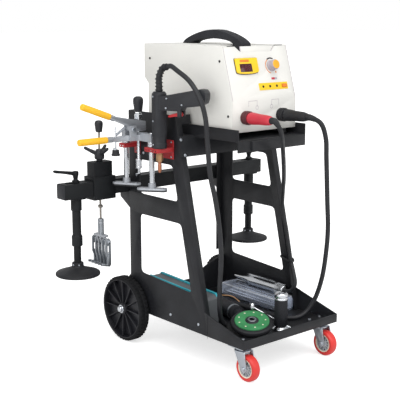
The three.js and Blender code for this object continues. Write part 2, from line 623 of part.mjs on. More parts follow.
function notch(wall, y0, y1) {
  const flare = (CASE.notchTop - CASE.notchBottom) / CASE.notchDepth;
  const [low, high] = [notchFloor - wall, CASE.top + FIT.overrun];
  const wide = CASE.notchBottom + flare * (high - notchFloor) + wall;
  const narrow = CASE.notchBottom + wall;
  return acrossY(outline([[-narrow, low], [narrow, low], [wide, high], [-wide, high]]), y0, y1);
}

const notchBack = -CASE.topFront + CASE.notchReach;

function caseCover() {
  const shell = acrossX(outline(caseOutline(CASE.top)), -CASE.half, CASE.half);
  const roof = CASE.top - CASE.sheet;
  const hollow = acrossX(outline([
    [-CASE.front - FIT.overrun, CASE.bottom - FIT.overrun], [-CASE.front - FIT.overrun, roof],
    [CASE.rearTop + FIT.overrun, roof], [CASE.rearTop + FIT.overrun, CASE.bottom - FIT.overrun]]),
  -caseInner, caseInner);
  const pocket = notch(CASE.notchWall + FIT.gap, -CASE.front, notchBack + CASE.notchWall + FIT.gap);
  return cut(shell, hollow, pocket);
}

part('case_cover', caseCover(), FINISH.whitePaint);

function caseChassis() {
  const t = CASE.panelThick;
  const top = CASE.top - CASE.sheet - FIT.gap;
  const front = -CASE.front + t + FIT.gap;
  const profile = outline([[front, CASE.bottom], [-CASE.rearBottom, CASE.bottom],
    [-CASE.rearBottom, CASE.rearStepBottom],
    [CASE.rearTop, CASE.rearStepTop], [CASE.rearTop, top], [CASE.rearTop - t, top],
    [CASE.rearTop - t, CASE.rearStepTop + t / 2], [-CASE.rearBottom - t, CASE.rearStepBottom + t / 2],
    [-CASE.rearBottom - t, CASE.bottom + t], [front, CASE.bottom + t]]);
  const footRows = [-CASE.front + CASE.footInset, -CASE.rearBottom - CASE.footInset];
  const feet = [-1, 1].flatMap((sx) => footRows.map((y) => bar('z', CASE.footRadius, TOP_TRAY.floor + FIT.gap,
    CASE.bottom + t / 2, sx * (CASE.half - CASE.footInset), y)));
  return join(acrossX(profile, -insideCover, insideCover), ...feet);
}

part('case_chassis', caseChassis(), FINISH.whitePaint);

// Items on the sloping face are drawn in (x, distance up the slope) and stand out along local -y.
const slopeFrame = new THREE.Matrix4().makeRotationX(-slope)
  .setPosition(0, -CASE.front, CASE.kneeZ);
const onSlope = (geometry) => geometry.clone().applyMatrix4(slopeFrame);

function frontPanel() {
  const t = CASE.panelThick;
  const top = CASE.top - CASE.sheet - FIT.gap;
  const sheet = acrossX(outline([[-CASE.front, CASE.bottom], [-CASE.front, CASE.kneeZ], [frontAt(top), top],
    [frontAt(top) + t, top], [-CASE.front + t, CASE.kneeZ], [-CASE.front + t, CASE.bottom]]),
  -insideCover, insideCover);
  const within = acrossX(outline(caseOutline(top)), -insideCover, insideCover);
  const liner = overlap(within, cut(notch(CASE.notchWall, -CASE.front, notchBack + CASE.notchWall),
    notch(0, -CASE.front - FIT.overrun, notchBack)));
  const bosses = [SOCKET.redX, SOCKET.blackX].map((x) => bar('y', SOCKET.radius, -CASE.front - SOCKET.length,
    -CASE.front + t / 2, x, SOCKET.z, ROUND.medium));
  const [bw, bh] = [BUTTON.width / 2 + FIT.gap, BUTTON.height / 2 + FIT.gap];
  const buttonHole = onSlope(block(BUTTON.x - bw, BUTTON.x + bw, -FIT.overrun, FIT.overrun, BUTTON.s - bh,
    BUTTON.s + bh));
  const spindleHole = onSlope(bar('y', DIAL.spindleRadius + FIT.running, -FIT.overrun, FIT.overrun, DIAL.x,
    DIAL.s, ROUND.small));
  const notched = cut(sheet, notch(0, -CASE.front - FIT.overrun, notchBack));
  return cut(join(notched, liner, ...bosses), buttonHole, spindleHole);
}

part('front_panel', frontPanel(), FINISH.whitePaint);

function carryHandle() {
  const [seat, pocketSeat] = [CASE.top + FIT.gap, notchFloor + FIT.gap];
  const [apex, under] = [CASE.top + HANDLE.apex, CASE.top + HANDLE.underside];
  const shape = new THREE.Shape();
  shape.moveTo(-HANDLE.frontTop, pocketSeat);
  shape.lineTo(-HANDLE.frontTop, seat);
  shape.bezierCurveTo(-HANDLE.frontTop, seat + HANDLE.rise, -HANDLE.middle - HANDLE.frontSpread, apex,
    -HANDLE.middle, apex);
  shape.bezierCurveTo(-HANDLE.middle + HANDLE.rearSpread, apex, -HANDLE.rearFoot, seat + HANDLE.rise,
    -HANDLE.rearFoot, seat);
  shape.lineTo(-HANDLE.rearInner, seat);
  shape.bezierCurveTo(-HANDLE.rearInner, seat + HANDLE.innerRise, -HANDLE.middle + HANDLE.innerSpread, under,
    -HANDLE.middle, under);
  shape.bezierCurveTo(-HANDLE.middle - HANDLE.innerSpread, under, -HANDLE.frontInner, seat + HANDLE.innerRise,
    -HANDLE.frontInner, seat);
  shape.lineTo(-HANDLE.frontInner, pocketSeat);
  shape.closePath();
  return acrossX(shape, -HANDLE.width / 2, HANDLE.width / 2, ROUND.arch);
}

part('carry_handle', carryHandle(), FINISH.blackPlastic);

function displayUnit() {
  const [w, h] = [DISPLAY.width / 2, DISPLAY.height / 2];
  const face = new THREE.Shape();
  face.moveTo(-w, h);
  face.lineTo(-w, -h);
  face.lineTo(-w / 3, -h);
  face.quadraticCurveTo(0, -h - DISPLAY.bulge, w / 3, -h);
  face.lineTo(w, -h);
  face.lineTo(w, h);
  face.closePath();
  const proud = -DISPLAY.thick;
  const body = acrossY(face, proud, -FIT.gap);
  const [ww, wh] = [DISPLAY.windowWidth / 2, DISPLAY.windowHeight / 2];
  const recess = block(-ww, ww, proud - FIT.overrun, proud + DISPLAY.windowDepth, -DISPLAY.windowDrop - wh,
    -DISPLAY.windowDrop + wh);
  return onSlope(cut(body, recess).translate(DISPLAY.x, 0, DISPLAY.s));
}

part('display_unit', displayUnit(), FINISH.amber);

function dialKnob() {
  const profile = [[0, -DIAL.skirt], [DIAL.spindleRadius, -DIAL.skirt], [DIAL.spindleRadius, FIT.running],
    [DIAL.skirtRadius, FIT.running], [DIAL.skirtRadius, DIAL.skirt], [DIAL.radius, DIAL.skirt],
    [DIAL.topRadius, DIAL.height], [0, DIAL.height]];
  const pointer = block(-DIAL.pointerWidth / 2, DIAL.pointerWidth / 2, DIAL.radius / 3, DIAL.skirtRadius,
    DIAL.height - DIAL.pointerDepth, DIAL.height + FIT.overrun);
  return onSlope(cut(turned(profile), pointer).rotateX(Math.PI / 2).translate(DIAL.x, 0, DIAL.s));
}

part('dial_knob', dialKnob(), FINISH.yellow);

function modeButton() {
  const [w, h] = [BUTTON.width / 2, BUTTON.height / 2];
  const inner = CASE.panelThick + FIT.gap;
  const cap = block(-w, w, -BUTTON.proud, inner + BUTTON.flangeThick, -h, h);
  const flange = block(-w - BUTTON.flangeWidth, w + BUTTON.flangeWidth, inner, inner + BUTTON.flangeThick,
    -h - BUTTON.flangeWidth, h + BUTTON.flangeWidth);
  return onSlope(join(cap, flange).translate(BUTTON.x, 0, BUTTON.s));
}

part('mode_button', modeButton(), FINISH.amber);

function weldPlug() {
  const [c, b] = [PLUG.collarRadius, PLUG.bodyRadius];
  return turned([[0, 0], [c - PLUG.collarRound, 0], [c, PLUG.collarRound], [c, PLUG.collarLength],
    [b, PLUG.collarLength], [b, PLUG.collarLength * 2], [PLUG.waistRadius, PLUG.waistAt],
    [b, (PLUG.waistAt + PLUG.length) / 2], [PLUG.tailRadius, PLUG.length], [0, PLUG.length]])
    .rotateX(Math.PI / 2);
}

const plugY = -CASE.front - SOCKET.length - FIT.gap;
part('plug_red', weldPlug().translate(SOCKET.redX, plugY, SOCKET.z), FINISH.redPlastic);
part('plug_black', weldPlug().translate(SOCKET.blackX, plugY, SOCKET.z), FINISH.rubber);

function transformer() {
  const z0 = CASE.bottom + CASE.panelThick + FIT.gap;
  const [w, d] = [TRANSFORMER.width / 2, TRANSFORMER.depth / 2];
  const core = block(-w, w, -d, d, z0, z0 + TRANSFORMER.height);
  const mid = z0 + TRANSFORMER.height / 2;
  const coil = block(-TRANSFORMER.coilWidth / 2, TRANSFORMER.coilWidth / 2, -TRANSFORMER.coilDepth / 2,
    TRANSFORMER.coilDepth / 2, mid - TRANSFORMER.coilHeight / 2, mid + TRANSFORMER.coilHeight / 2);
  return join(core, coil).translate(0, -TRANSFORMER.y, 0);
}

part('transformer', transformer(), FINISH.cast);

function controlBoard() {
  const z0 = CASE.bottom + CASE.panelThick + FIT.gap;
  const [w, d] = [BOARD.width / 2, BOARD.depth / 2];
  const sheet = block(-w, w, -d, d, z0 + BOARD.standoff, z0 + BOARD.standoff + BOARD.thick);
  const pillars = [-1, 1].flatMap((sx) => [-1, 1].map((sy) => bar('z', BOARD.pillarRadius, z0,
    z0 + BOARD.standoff + BOARD.thick / 2, sx * (w - BOARD.inset), sy * (d - BOARD.inset), ROUND.cord)));
  return join(sheet, ...pillars).translate(0, -BOARD.y, 0);
}

part('control_board', controlBoard(), FINISH.board);

// Spot welding gun: its own group turns so that the grip runs along local -y

const gun = new THREE.Group();
gun.position.set(GUN.x, gunY, 0);
gun.rotation.z = radians(GUN.turn);
machine.add(gun);

function gunBody() {
  const r = GUN.barrelRadius;
  const barrel = turned([[0, GUN.barrelBottom], [r, GUN.barrelBottom], [r, barrelTop - GUN.topRound],
    [r - GUN.topRound, barrelTop], [0, barrelTop]]);
  const side = new THREE.Shape();
  const endZ = GUN.barrelBottom + GUN.gripEndUp;
  const [endTop, endBottom] = [endZ + GUN.gripHalf, endZ - GUN.gripHalf];
  side.moveTo(0, GUN.barrelBottom + GUN.gripRootUp);
  side.lineTo(-GUN.gripEnd, endTop);
  side.quadraticCurveTo(-GUN.gripEnd - GUN.tailTopOut, endTop, -GUN.gripEnd - GUN.tailOut, endZ);
  side.quadraticCurveTo(-GUN.gripEnd - GUN.tailLowOut, endBottom, -GUN.gripEnd, endBottom);
  side.lineTo(-GUN.blockOut, endZ - GUN.rearDrop);
  side.lineTo(-GUN.blockLowOut, blockBottom);
  side.lineTo(0, blockBottom);
  side.closePath();
  const ear = triggerEar();
  return join(barrel, acrossX(side, -GUN.width / 2, GUN.width / 2), ear, mirroredX(ear));
}

function triggerEar() {
  const root = -TRIGGER.pivotOut;
  return block(TRIGGER.width / 2 + FIT.running, GUN.width / 2, root - TRIGGER.pivotRadius,
    root + TRIGGER.pivotRadius, triggerZ - TRIGGER.pivotRadius, blockBottom + FIT.gap);
}

part('gun_body', gunBody(), FINISH.blackPlastic, gun);

function gunTrigger() {
  const top = blockBottom - TRIGGER.gap;
  const root = -TRIGGER.pivotOut;
  const inner = root + TRIGGER.length;
  const tipTop = top - TRIGGER.tipDrop;
  const shape = outline([[root - TRIGGER.pivotRadius, triggerZ], [root, top],
    [root + TRIGGER.pivotRadius, top], [inner, tipTop], [inner, tipTop - TRIGGER.tipThick],
    [root, triggerZ - TRIGGER.pivotRadius]]);
  return acrossX(shape, -TRIGGER.width / 2, TRIGGER.width / 2);
}

part('gun_trigger', gunTrigger(), FINISH.redPlastic, gun);

part('gun_electrode', turned([
  [0, -ELECTRODE.reach], [ELECTRODE.pointRadius, -ELECTRODE.reach],
  [ELECTRODE.tipRadius, -ELECTRODE.shoulder], [ELECTRODE.tipRadius, -ELECTRODE.collarEnd],
  [ELECTRODE.collarRadius, -ELECTRODE.collarEnd],
  [ELECTRODE.collarRadius, -ELECTRODE.neck], [ELECTRODE.neckRadius, -ELECTRODE.neck],
  [ELECTRODE.neckRadius, -FIT.gap], [0, -FIT.gap],
], ROUND.coarse).translate(0, 0, GUN.barrelBottom), FINISH.copper, gun);

// The ribbed boot and the cable in it: straight out of the barrel, then over towards the front
const bootEnd = new THREE.Vector3(-223, -232, 845);
const bootLeaving = new THREE.Vector3(0.05, -0.97, 0.22).normalize();
const bootTop = bootEnd.clone().addScaledVector(bootLeaving, -BOOT.straight);
const bootRoute = routeOf([[GUN.x, gunY, barrelTop + FIT.gap], [GUN.x, gunY, barrelTop + BOOT.straight],
  [GUN.x, gunY, barrelTop + 2 * BOOT.straight], bootTop.toArray(), bootEnd.toArray()]);

function gunBoot() {
  const radii = [BOOT.radius, BOOT.radius];
  for (let i = 0; i < BOOT.ribs; i++) {
    const slim = 1 - (1 - BOOT.endShare) * (i / BOOT.ribs);
    radii.push(BOOT.valley * slim, BOOT.valley * slim, BOOT.radius * slim, BOOT.radius * slim);
  }
  radii.push(BOOT.valley * BOOT.endShare);
  return ringsAlong(bootRoute, radii, ROUND.small);
}

part('gun_boot', gunBoot(), FINISH.rubber);

// Red brackets on the left panel: a shelf with holes for what hangs in it, and an upright

function toolBracket(y0, y1, holes) {
  const inner = -PANEL.outer - FIT.gap;
  const outer = inner - BRACKET.reach;
  const plate = block(outer, inner, y0, y1, shelf - BRACKET.plate, shelf);
  const lips = [
    block(outer, outer + BRACKET.plate, y0, y1, shelf - BRACKET.lip, shelf),
    block(outer, inner, y0, y0 + BRACKET.plate, shelf - BRACKET.lip, shelf)];
  const upright = block(inner - BRACKET.plate, inner, y0, y1, shelf - BRACKET.uprightBelow,
    shelf + BRACKET.uprightAbove);
  const slots = [];
  for (let y = y0 + BRACKET.slotPitch; y < y1 - BRACKET.slot; y += BRACKET.slotPitch) {
    slots.push(block(outer - FIT.overrun, outer + FIT.overrun, y - BRACKET.slot / 2, y + BRACKET.slot / 2,
      shelf - BRACKET.lip + BRACKET.plate, shelf - 2 * BRACKET.plate));
  }
  return cut(join(plate, ...lips, upright), ...slots, ...holes);
}

const columnHole = (y) => bar('z', PULLER.columnRadius + FIT.running, shelf - BRACKET.lip - FIT.overrun,
  shelf + FIT.overrun, PULLER.x, y);
const electrodeHole = bar('z', ELECTRODE.neckRadius + FIT.running, shelf - BRACKET.lip - FIT.overrun,
  shelf + FIT.overrun, GUN.x, gunY);

part('tool_bracket_rear', toolBracket(columnY[0] - BRACKET.columnMargin, columnY[0] + BRACKET.columnMargin,
  [columnHole(columnY[0])]), FINISH.redPaint);
part('tool_bracket_front', toolBracket(gunY - BRACKET.columnMargin, columnY[1] + BRACKET.columnMargin,
  [columnHole(columnY[1]), electrodeHole]), FINISH.redPaint);

// Hand puller, standing in the red brackets

function pullerFrame() {
  const [x, y] = [PULLER.x, pullerY];
  const half = PULLER.bridgeWidth / 2;
  const bridge = block(x - half, x + half, columnY[1] - PULLER.bridgeEnd, columnY[0] + PULLER.bridgeEnd,
    PULLER.bridgeBottom, PULLER.bridgeTop);
  const columns = columnY.flatMap((cy) => [
    bar('z', PULLER.columnRadius, PULLER.footTop, PULLER.bridgeBottom + FIT.running, x, cy),
    bar('z', PULLER.stopRadius, shelf + FIT.gap, PULLER.bridgeBottom + FIT.running, x, cy)]);
  const [in0, out0] = [x - half + FIT.running, x - PULLER.gripOut];
  const middle = (PULLER.barTop + PULLER.barBottom) / 2;
  const handle = acrossZ(outline([[in0, y - PULLER.flare / 2], [in0, y + PULLER.flare / 2],
    [x - PULLER.flare, y + PULLER.barWidth], [out0, y + PULLER.barWidth / 2], [out0, y - PULLER.barWidth / 2],
    [x - PULLER.flare, y - PULLER.barWidth]]), PULLER.barBottom, PULLER.barTop);
  const grip = bar('x', PULLER.gripRadius, out0 + PULLER.barWidth, out0 - PULLER.gripLength, y, middle);
  const sx = x - PULLER.stopScrewOut;
  const screwEnd = PULLER.barBottom - PULLER.stopScrewLength;
  const screw = bar('z', PULLER.stopScrewRadius, screwEnd, middle, sx, y, ROUND.cord);
  const pad = turned([[0, 0], [PULLER.stopPadRadius, 0], [PULLER.stopPadTop, PULLER.stopPadHeight],
    [0, PULLER.stopPadHeight]], ROUND.small).translate(sx, y, screwEnd - PULLER.stopPadHeight + FIT.gap);
  const pivotX = x - LEVER.pivotOut;
  const lugY = LEVER.width / 2 + FIT.running;
  const [lugLeft, lugRight] = [pivotX - PULLER.lugWidth / 2, pivotX + PULLER.lugWidth / 2];
  const lugOuter = lugY + PULLER.lugThick;
  const lug = block(lugLeft, lugRight, y + lugY, y + lugOuter, PULLER.barBottom, PULLER.lugTop);
  const otherLug = moved(lug, 0, -lugY - lugOuter, 0);
  const cheekPlate = block(lugLeft, in0, y - lugOuter, y + lugOuter, PULLER.barBottom,
    PULLER.bridgeTop - PULLER.barWidth);
  const pinEnd = lugY + PULLER.lugThick / 2;
  const pin = bar('y', LEVER.pinRadius, y - pinEnd, y + pinEnd, pivotX, LEVER.pivotZ, ROUND.small);
  const rodHole = bar('z', PULL_ROD.radius + FIT.running, PULLER.bridgeBottom - FIT.overrun,
    PULLER.bridgeTop + FIT.overrun, x, y);
  return cut(join(bridge, ...columns, handle, grip, screw, pad, cheekPlate, lug, otherLug, pin), rodHole);
}

part('puller_frame', pullerFrame(), FINISH.cast);

function pullerLever() {
  const [x, y] = [PULLER.x, pullerY];
  const pivotX = x - LEVER.pivotOut;
  const headEnd = x + LEVER.headEnd;
  const gripX = x - LEVER.gripOut;
  const gripZ = LEVER.pivotZ + LEVER.gripRise;
  const rise = Math.tan(radians(LEVER.gripTilt));
  const along = Math.hypot(1, rise);
  const end = [gripX - LEVER.gripLength / along, gripZ + (rise * LEVER.gripLength) / along];
  const half = PULLER.barWidth;
  const cheek = LEVER.pinRadius * 2;
  const side = outline([[headEnd, LEVER.headBottom], [headEnd, LEVER.headTop - LEVER.headFall],
    [pivotX, LEVER.headTop], [gripX, gripZ + half], [gripX, gripZ - half],
    [pivotX - cheek, LEVER.pivotZ + cheek], [pivotX - cheek, LEVER.pivotZ],
    [pivotX - cheek / 2, LEVER.headBottom]]);
  const body = acrossX(side, 0, LEVER.width).applyMatrix4(axes([0, 1, 0], [1, 0, 0], [0, 0, 1]));
  const placed = clean(body).translate(0, y - LEVER.width / 2, 0);
  const grip = strut([gripX + half, y, gripZ - rise * half], [end[0], y, end[1]], PULLER.gripRadius,
    PULLER.gripRadius, ROUND.coarse);
  const slot = block(x - LEVER.slotHalf, x + LEVER.slotHalf, y - PULL_ROD.radius - FIT.running,
    y + PULL_ROD.radius + FIT.running, LEVER.headBottom - FIT.overrun, LEVER.headTop + FIT.overrun);
  const pinHole = bar('y', LEVER.pinRadius + FIT.running, y - LEVER.width, y + LEVER.width, pivotX,
    LEVER.pivotZ, ROUND.small);
  return cut(join(placed, grip), slot, pinHole);
}

part('puller_lever', pullerLever(), FINISH.chrome);

const leverTopAtNut = LEVER.headTop - LEVER.headFall
  * (LEVER.pivotOut - PULL_ROD.nutRadius) / (LEVER.pivotOut + LEVER.headEnd);

part('puller_rod', join(
  bar('z', PULL_ROD.radius, PULL_ROD.couplingTop, PULL_ROD.nutTop, 0, 0, ROUND.small),
  bar('z', PULL_ROD.couplingRadius, PULL_ROD.couplingBottom, PULL_ROD.couplingTop + FIT.gap, 0, 0),
  bar('z', PULL_ROD.tipRadius, PULL_ROD.bottom, PULL_ROD.couplingBottom + FIT.gap, 0, 0, ROUND.cord),
  block(-PULL_ROD.hook - PULL_ROD.tipRadius, 0, -PULL_ROD.tipRadius / 2, PULL_ROD.tipRadius / 2,
    PULL_ROD.bottom, PULL_ROD.bottom + PULL_ROD.tipRadius),
  bar('z', PULL_ROD.nutRadius, leverTopAtNut + FIT.gap, PULL_ROD.nutTop, 0, 0, ROUND.hex),
  bar('z', PULL_ROD.lockNutRadius, PULL_ROD.nutTop - FIT.gap, PULL_ROD.lockNutTop, 0, 0, ROUND.hex),
).translate(PULLER.x, pullerY, 0), FINISH.chrome);

function handKnob(radius, neck, height, z0) {
  return turned([[0, z0], [neck, z0], [radius * KNOB.lowRadiusShare, z0 + height * KNOB.lowShare],
    [radius, z0 + height * KNOB.highShare], [radius * KNOB.rimRadiusShare, z0 + height * KNOB.rimShare],
    [radius * KNOB.crownRadiusShare, z0 + height], [0, z0 + height]], ROUND.coarse);
}

part('puller_knob', handKnob(KNOB.radius, KNOB.neckRadius, KNOB.height, PULL_ROD.lockNutTop + FIT.gap)
  .translate(PULLER.x, pullerY, 0), FINISH.blackPlastic);

function pullerFoot(turn) {
  const plateTop = PULLER.footTop + FOOT.socket - FOOT.bossHeight;
  const [l, w] = [FOOT.length / 2, FOOT.width / 2];
  const plan = softOutline([[-w, -l], [w, -l], [w, l], [-w, l]], FOOT.endRound);
  const plate = acrossZ(plan, plateTop - FOOT.thick - FOOT.padThick, plateTop);
  const boss = bar('z', FOOT.bossRadius, plateTop - FIT.gap, PULLER.footTop + FOOT.socket, 0, 0);
  const socket = bar('z', PULLER.columnRadius + FIT.gap, PULLER.footTop - FIT.gap,
    PULLER.footTop + FOOT.bossHeight, 0, 0);
  return cut(join(plate, boss), socket).rotateZ(radians(turn));
}

part('puller_foot_rear', pullerFoot(FOOT.rearTurn).translate(PULLER.x, columnY[0], 0), FINISH.cast);
part('puller_foot_front', pullerFoot(FOOT.frontTurn).translate(PULLER.x, columnY[1], 0), FINISH.cast);

// The return spring between the two handles, one unbroken wire
const springStart = new THREE.Vector3(PULLER.x - SPRING.outLow, pullerY, PULLER.barTop + SPRING.coilRadius);
const springEnd = new THREE.Vector3(PULLER.x - SPRING.outHigh, pullerY, SPRING.highZ);

class SpringWire extends THREE.Curve {
  getPoint(t, target = new THREE.Vector3()) {
    const along = springEnd.clone().sub(springStart);
    const side = new THREE.Vector3(0, 1, 0);
    const up = along.clone().cross(side).normalize();
    const a = 2 * Math.PI * SPRING.turns * t;
    return target.copy(springStart).addScaledVector(along, t)
      .addScaledVector(side, SPRING.coilRadius * Math.cos(a))
      .addScaledVector(up, SPRING.coilRadius * Math.sin(a));
  }
}

const springWire = new SpringWire();
const springSteps = SPRING.turns * SPRING.stepsPerTurn;
part('puller_spring', new THREE.ExtrudeGeometry(polygon(SPRING.wire, SPRING.wireSides), {
  steps: springSteps, extrudePath: springWire, bevelEnabled: false,
}), FINISH.zinc);

// Least gap between neighbouring turns, measured on points a turn apart
let springGap = Infinity;
for (let i = 0; i + SPRING.stepsPerTurn <= springSteps; i++) {
  const next = springWire.getPoint((i + SPRING.stepsPerTurn) / springSteps);
  const gap = springWire.getPoint(i / springSteps).distanceTo(next);
  springGap = Math.min(springGap, gap - 2 * SPRING.wire);
}
console.log(`puller_spring least gap between turns ${springGap.toFixed(2)} mm`);

// Slotted beam across the back, with its sliding carriage and two support legs

function beam() {
  const half = BEAM.size / 2;
  const inside = half - BEAM.wall;
  const z = BEAM.bottom + half;
  const body = block(-BEAM.near, BEAM.far, beamY - half, beamY + half, BEAM.bottom, beamTop);
  const bore = block(-BEAM.near + BEAM.capWall, BEAM.far - BEAM.capWall, beamY - inside, beamY + inside,
    z - inside, z + inside);
  const slotHalf = BEAM.slotWidth / 2;
  const slot = (x, left, right) => block(x - left - slotHalf, x + right + slotHalf, beamY - slotHalf,
    beamY + slotHalf, BEAM.bottom - FIT.overrun, beamTop + FIT.overrun);
  return cut(body, bore, slot(CARRIAGE.x, CARRIAGE.travelOut, CARRIAGE.travelIn),
    slot(LEG.nearX, LEG.slide, 0), slot(LEG.farX, LEG.slide, LEG.farSlide));
}

part('puller_beam', beam(), FINISH.blackPaint);

function carriage() {
  const reach = BEAM.size / 2 + CARRIAGE.wall;
  const w = CARRIAGE.width / 2;
  const hug = BEAM.size / 2 + FIT.gap;
  const sleeve = block(-w, w, -reach, reach, BEAM.bottom - CARRIAGE.lower, beamTop + CARRIAGE.upper);
  const tower = block(-CARRIAGE.towerWidth / 2, CARRIAGE.towerWidth / 2, -CARRIAGE.towerDepth / 2,
    CARRIAGE.towerDepth / 2, beamTop + CARRIAGE.upper - FIT.running, CARRIAGE.towerTop);
  const way = block(-w - FIT.overrun, w + FIT.overrun, -hug, hug, BEAM.bottom - FIT.gap, beamTop + FIT.gap);
  const bore = bar('z', SPINDLE.radius + FIT.running, BEAM.bottom - CARRIAGE.lower - FIT.overrun,
    CARRIAGE.towerTop + FIT.overrun, 0, 0);
  return cut(join(sleeve, tower), way, bore).translate(CARRIAGE.x, beamY, 0);
}

part('beam_carriage', carriage(), FINISH.blackPaint);

function wingNut() {
  const z0 = CARRIAGE.towerTop + FIT.gap;
  const hub = turned([[0, z0], [WING.washerRadius, z0], [WING.washerRadius, z0 + WING.washer],
    [WING.collarRadius, z0 + WING.washer], [WING.collarRadius, WING.collarTop],
    [WING.washerRadius, WING.hubTop],
    [0, WING.hubTop]], ROUND.coarse);
  const root = WING.collarTop - WING.armRadius;
  const tip = [WING.armReach - WING.armRadius, 0, WING.collarTop + WING.armTip];
  const arms = Array.from({ length: WING.arms }, (_, i) => strut([0, 0, root], tip, WING.armRootRadius,
    WING.armRadius, ROUND.cord).rotateZ((2 * Math.PI * i) / WING.arms + radians(WING.turn)));
  const bore = bar('z', SPINDLE.radius + FIT.running, z0 - FIT.overrun, WING.hubTop + WING.armTip, 0, 0);
  return cut(join(hub, ...arms), bore).translate(CARRIAGE.x, beamY, 0);
}

part('wing_nut', wingNut(), FINISH.blackPlastic);

function spindle() {
  const stop = BEAM.bottom - CARRIAGE.lower - FIT.gap - SPINDLE.rise;
  const rod = bar('z', SPINDLE.radius, SPINDLE.couplingTop - FIT.running, SPINDLE.knobBottom + FIT.running,
    0, 0, ROUND.small);
  const nut = bar('z', SPINDLE.nutRadius, stop - SPINDLE.nutRadius, stop, 0, 0, ROUND.small);
  const knob = handKnob(SPINDLE.knobRadius, SPINDLE.knobNeck, SPINDLE.knobHeight, SPINDLE.knobBottom);
  return join(rod, nut, knob).translate(CARRIAGE.x, beamY, 0);
}

part('pull_spindle', spindle(), FINISH.zinc);

const clawSpan = (CLAW.plates - 1) * CLAW.pitch / 2;

function clawYoke() {
  const top = SPINDLE.couplingTop - FIT.running - FIT.gap;
  const headCorner = Math.hypot(CLAW.bodyWidth / 4, CLAW.headRadius);
  const under = CLAW.pinZ + headCorner + 2 * FIT.running;
  const coupling = bar('z', SPINDLE.couplingRadius, under + CLAW.bridgeThick / 2, top, 0, 0);
  const bridge = block(-CLAW.earWidth / 2, CLAW.earWidth / 2, -CLAW.bridgeHalf, CLAW.bridgeHalf, under,
    under + CLAW.bridgeThick);
  const ears = [-1, 1].map((sign) => {
    const y = sign * CLAW.pitch / 2;
    return join(
      block(-CLAW.earWidth / 2, CLAW.earWidth / 2, y - CLAW.earThick / 2, y + CLAW.earThick / 2, CLAW.pinZ,
        under + FIT.running),
      bar('y', CLAW.earWidth / 2, y - CLAW.earThick / 2, y + CLAW.earThick / 2, 0, CLAW.pinZ));
  });
  const bore = bar('y', CLAW.pinRadius + FIT.running, -CLAW.pitch, CLAW.pitch, 0, CLAW.pinZ, ROUND.small);
  return cut(join(coupling, bridge, ...ears), bore).translate(CARRIAGE.x, beamY, 0);
}

part('claw_yoke', clawYoke(), FINISH.cast);

function clawHooks() {
  const pinEnd = clawSpan + CLAW.endNut;
  const pin = bar('y', CLAW.pinRadius, -pinEnd, pinEnd, 0, CLAW.pinZ, ROUND.cord);
  const bottom = CLAW.pinZ - CLAW.drop;
  const half = CLAW.bodyWidth / 2;
  const tip = -half - CLAW.hookReach;
  const blade = outline([[half, CLAW.pinZ], [half, bottom + CLAW.hookThick], [half / 2, bottom],
    [tip, bottom + CLAW.hookRise / 2], [tip, bottom + CLAW.hookRise],
    [tip + CLAW.hookThick, bottom + CLAW.hookRise], [-half / 2, bottom + CLAW.mouthRise],
    [-half / 2, bottom + CLAW.hookRise * 2], [-half, CLAW.pinZ - CLAW.drop / 2], [-half, CLAW.pinZ],
    [-half / 2, CLAW.pinZ + CLAW.headRadius], [half / 2, CLAW.pinZ + CLAW.headRadius]]);
  const slotTop = CLAW.pinZ - CLAW.headRadius - CLAW.slotWidth / 2;
  blade.holes.push(softOutline([[-CLAW.slotWidth / 2, slotTop], [CLAW.slotWidth / 2, slotTop],
    [CLAW.slotWidth / 2, slotTop - CLAW.slotLength], [-CLAW.slotWidth / 2, slotTop - CLAW.slotLength]],
  CLAW.slotWidth / 3, THREE.Path));
  const plates = Array.from({ length: CLAW.plates }, (_, i) => {
    const y = -clawSpan + i * CLAW.pitch;
    return acrossY(blade, y - CLAW.plate / 2, y + CLAW.plate / 2, 1);
  });
  const nuts = [-1, 1].map((sign) => bar('y', CLAW.endNut, sign * (clawSpan + CLAW.plate / 2 - FIT.gap),
    sign * pinEnd, 0, CLAW.pinZ, ROUND.hex));
  return join(pin, ...plates, ...nuts).translate(CARRIAGE.x, beamY, 0);
}

part('claw_hooks', clawHooks(), FINISH.chrome);

function legSleeve() {
  const bore = LEG.tubeRadius - LEG.wall;
  const boreTop = LEG.innerTop + LEG.retract + LEG.wall;
  const plateTop = BEAM.bottom - FIT.gap;
  const plateBottom = plateTop - LEG.plateThick;
  const body = turned([[0, plateBottom + FIT.gap], [LEG.sleeveRadius, plateBottom + FIT.gap],
    [LEG.sleeveRadius, LEG.sleeveBottom], [LEG.tubeRadius, LEG.sleeveBottom - LEG.wall],
    [LEG.tubeRadius, LEG.collarTop], [LEG.sleeveRadius, LEG.collarTop - LEG.wall],
    [LEG.sleeveRadius, LEG.collarBottom], [bore, LEG.collarBottom], [bore, boreTop], [0, boreTop]]);
  const plate = block(-LEG.plate / 2, LEG.plate / 2, -LEG.plate / 2, LEG.plate / 2, plateBottom, plateTop);
  const stud = bar('z', LEG.studRadius, plateTop - FIT.gap, beamTop + CLAMP.washer, 0, 0, ROUND.small);
  return join(body, plate, stud);
}

function legTube() {
  return turned([[0, LEG.bottom], [LEG.rimRadius, LEG.bottom], [LEG.rimRadius, LEG.rimTop],
    [LEG.neckRadius, LEG.skirtTop], [LEG.neckRadius, LEG.neckTop], [LEG.innerRadius, LEG.neckTop],
    [LEG.innerRadius, LEG.innerTop], [0, LEG.innerTop]]);
}

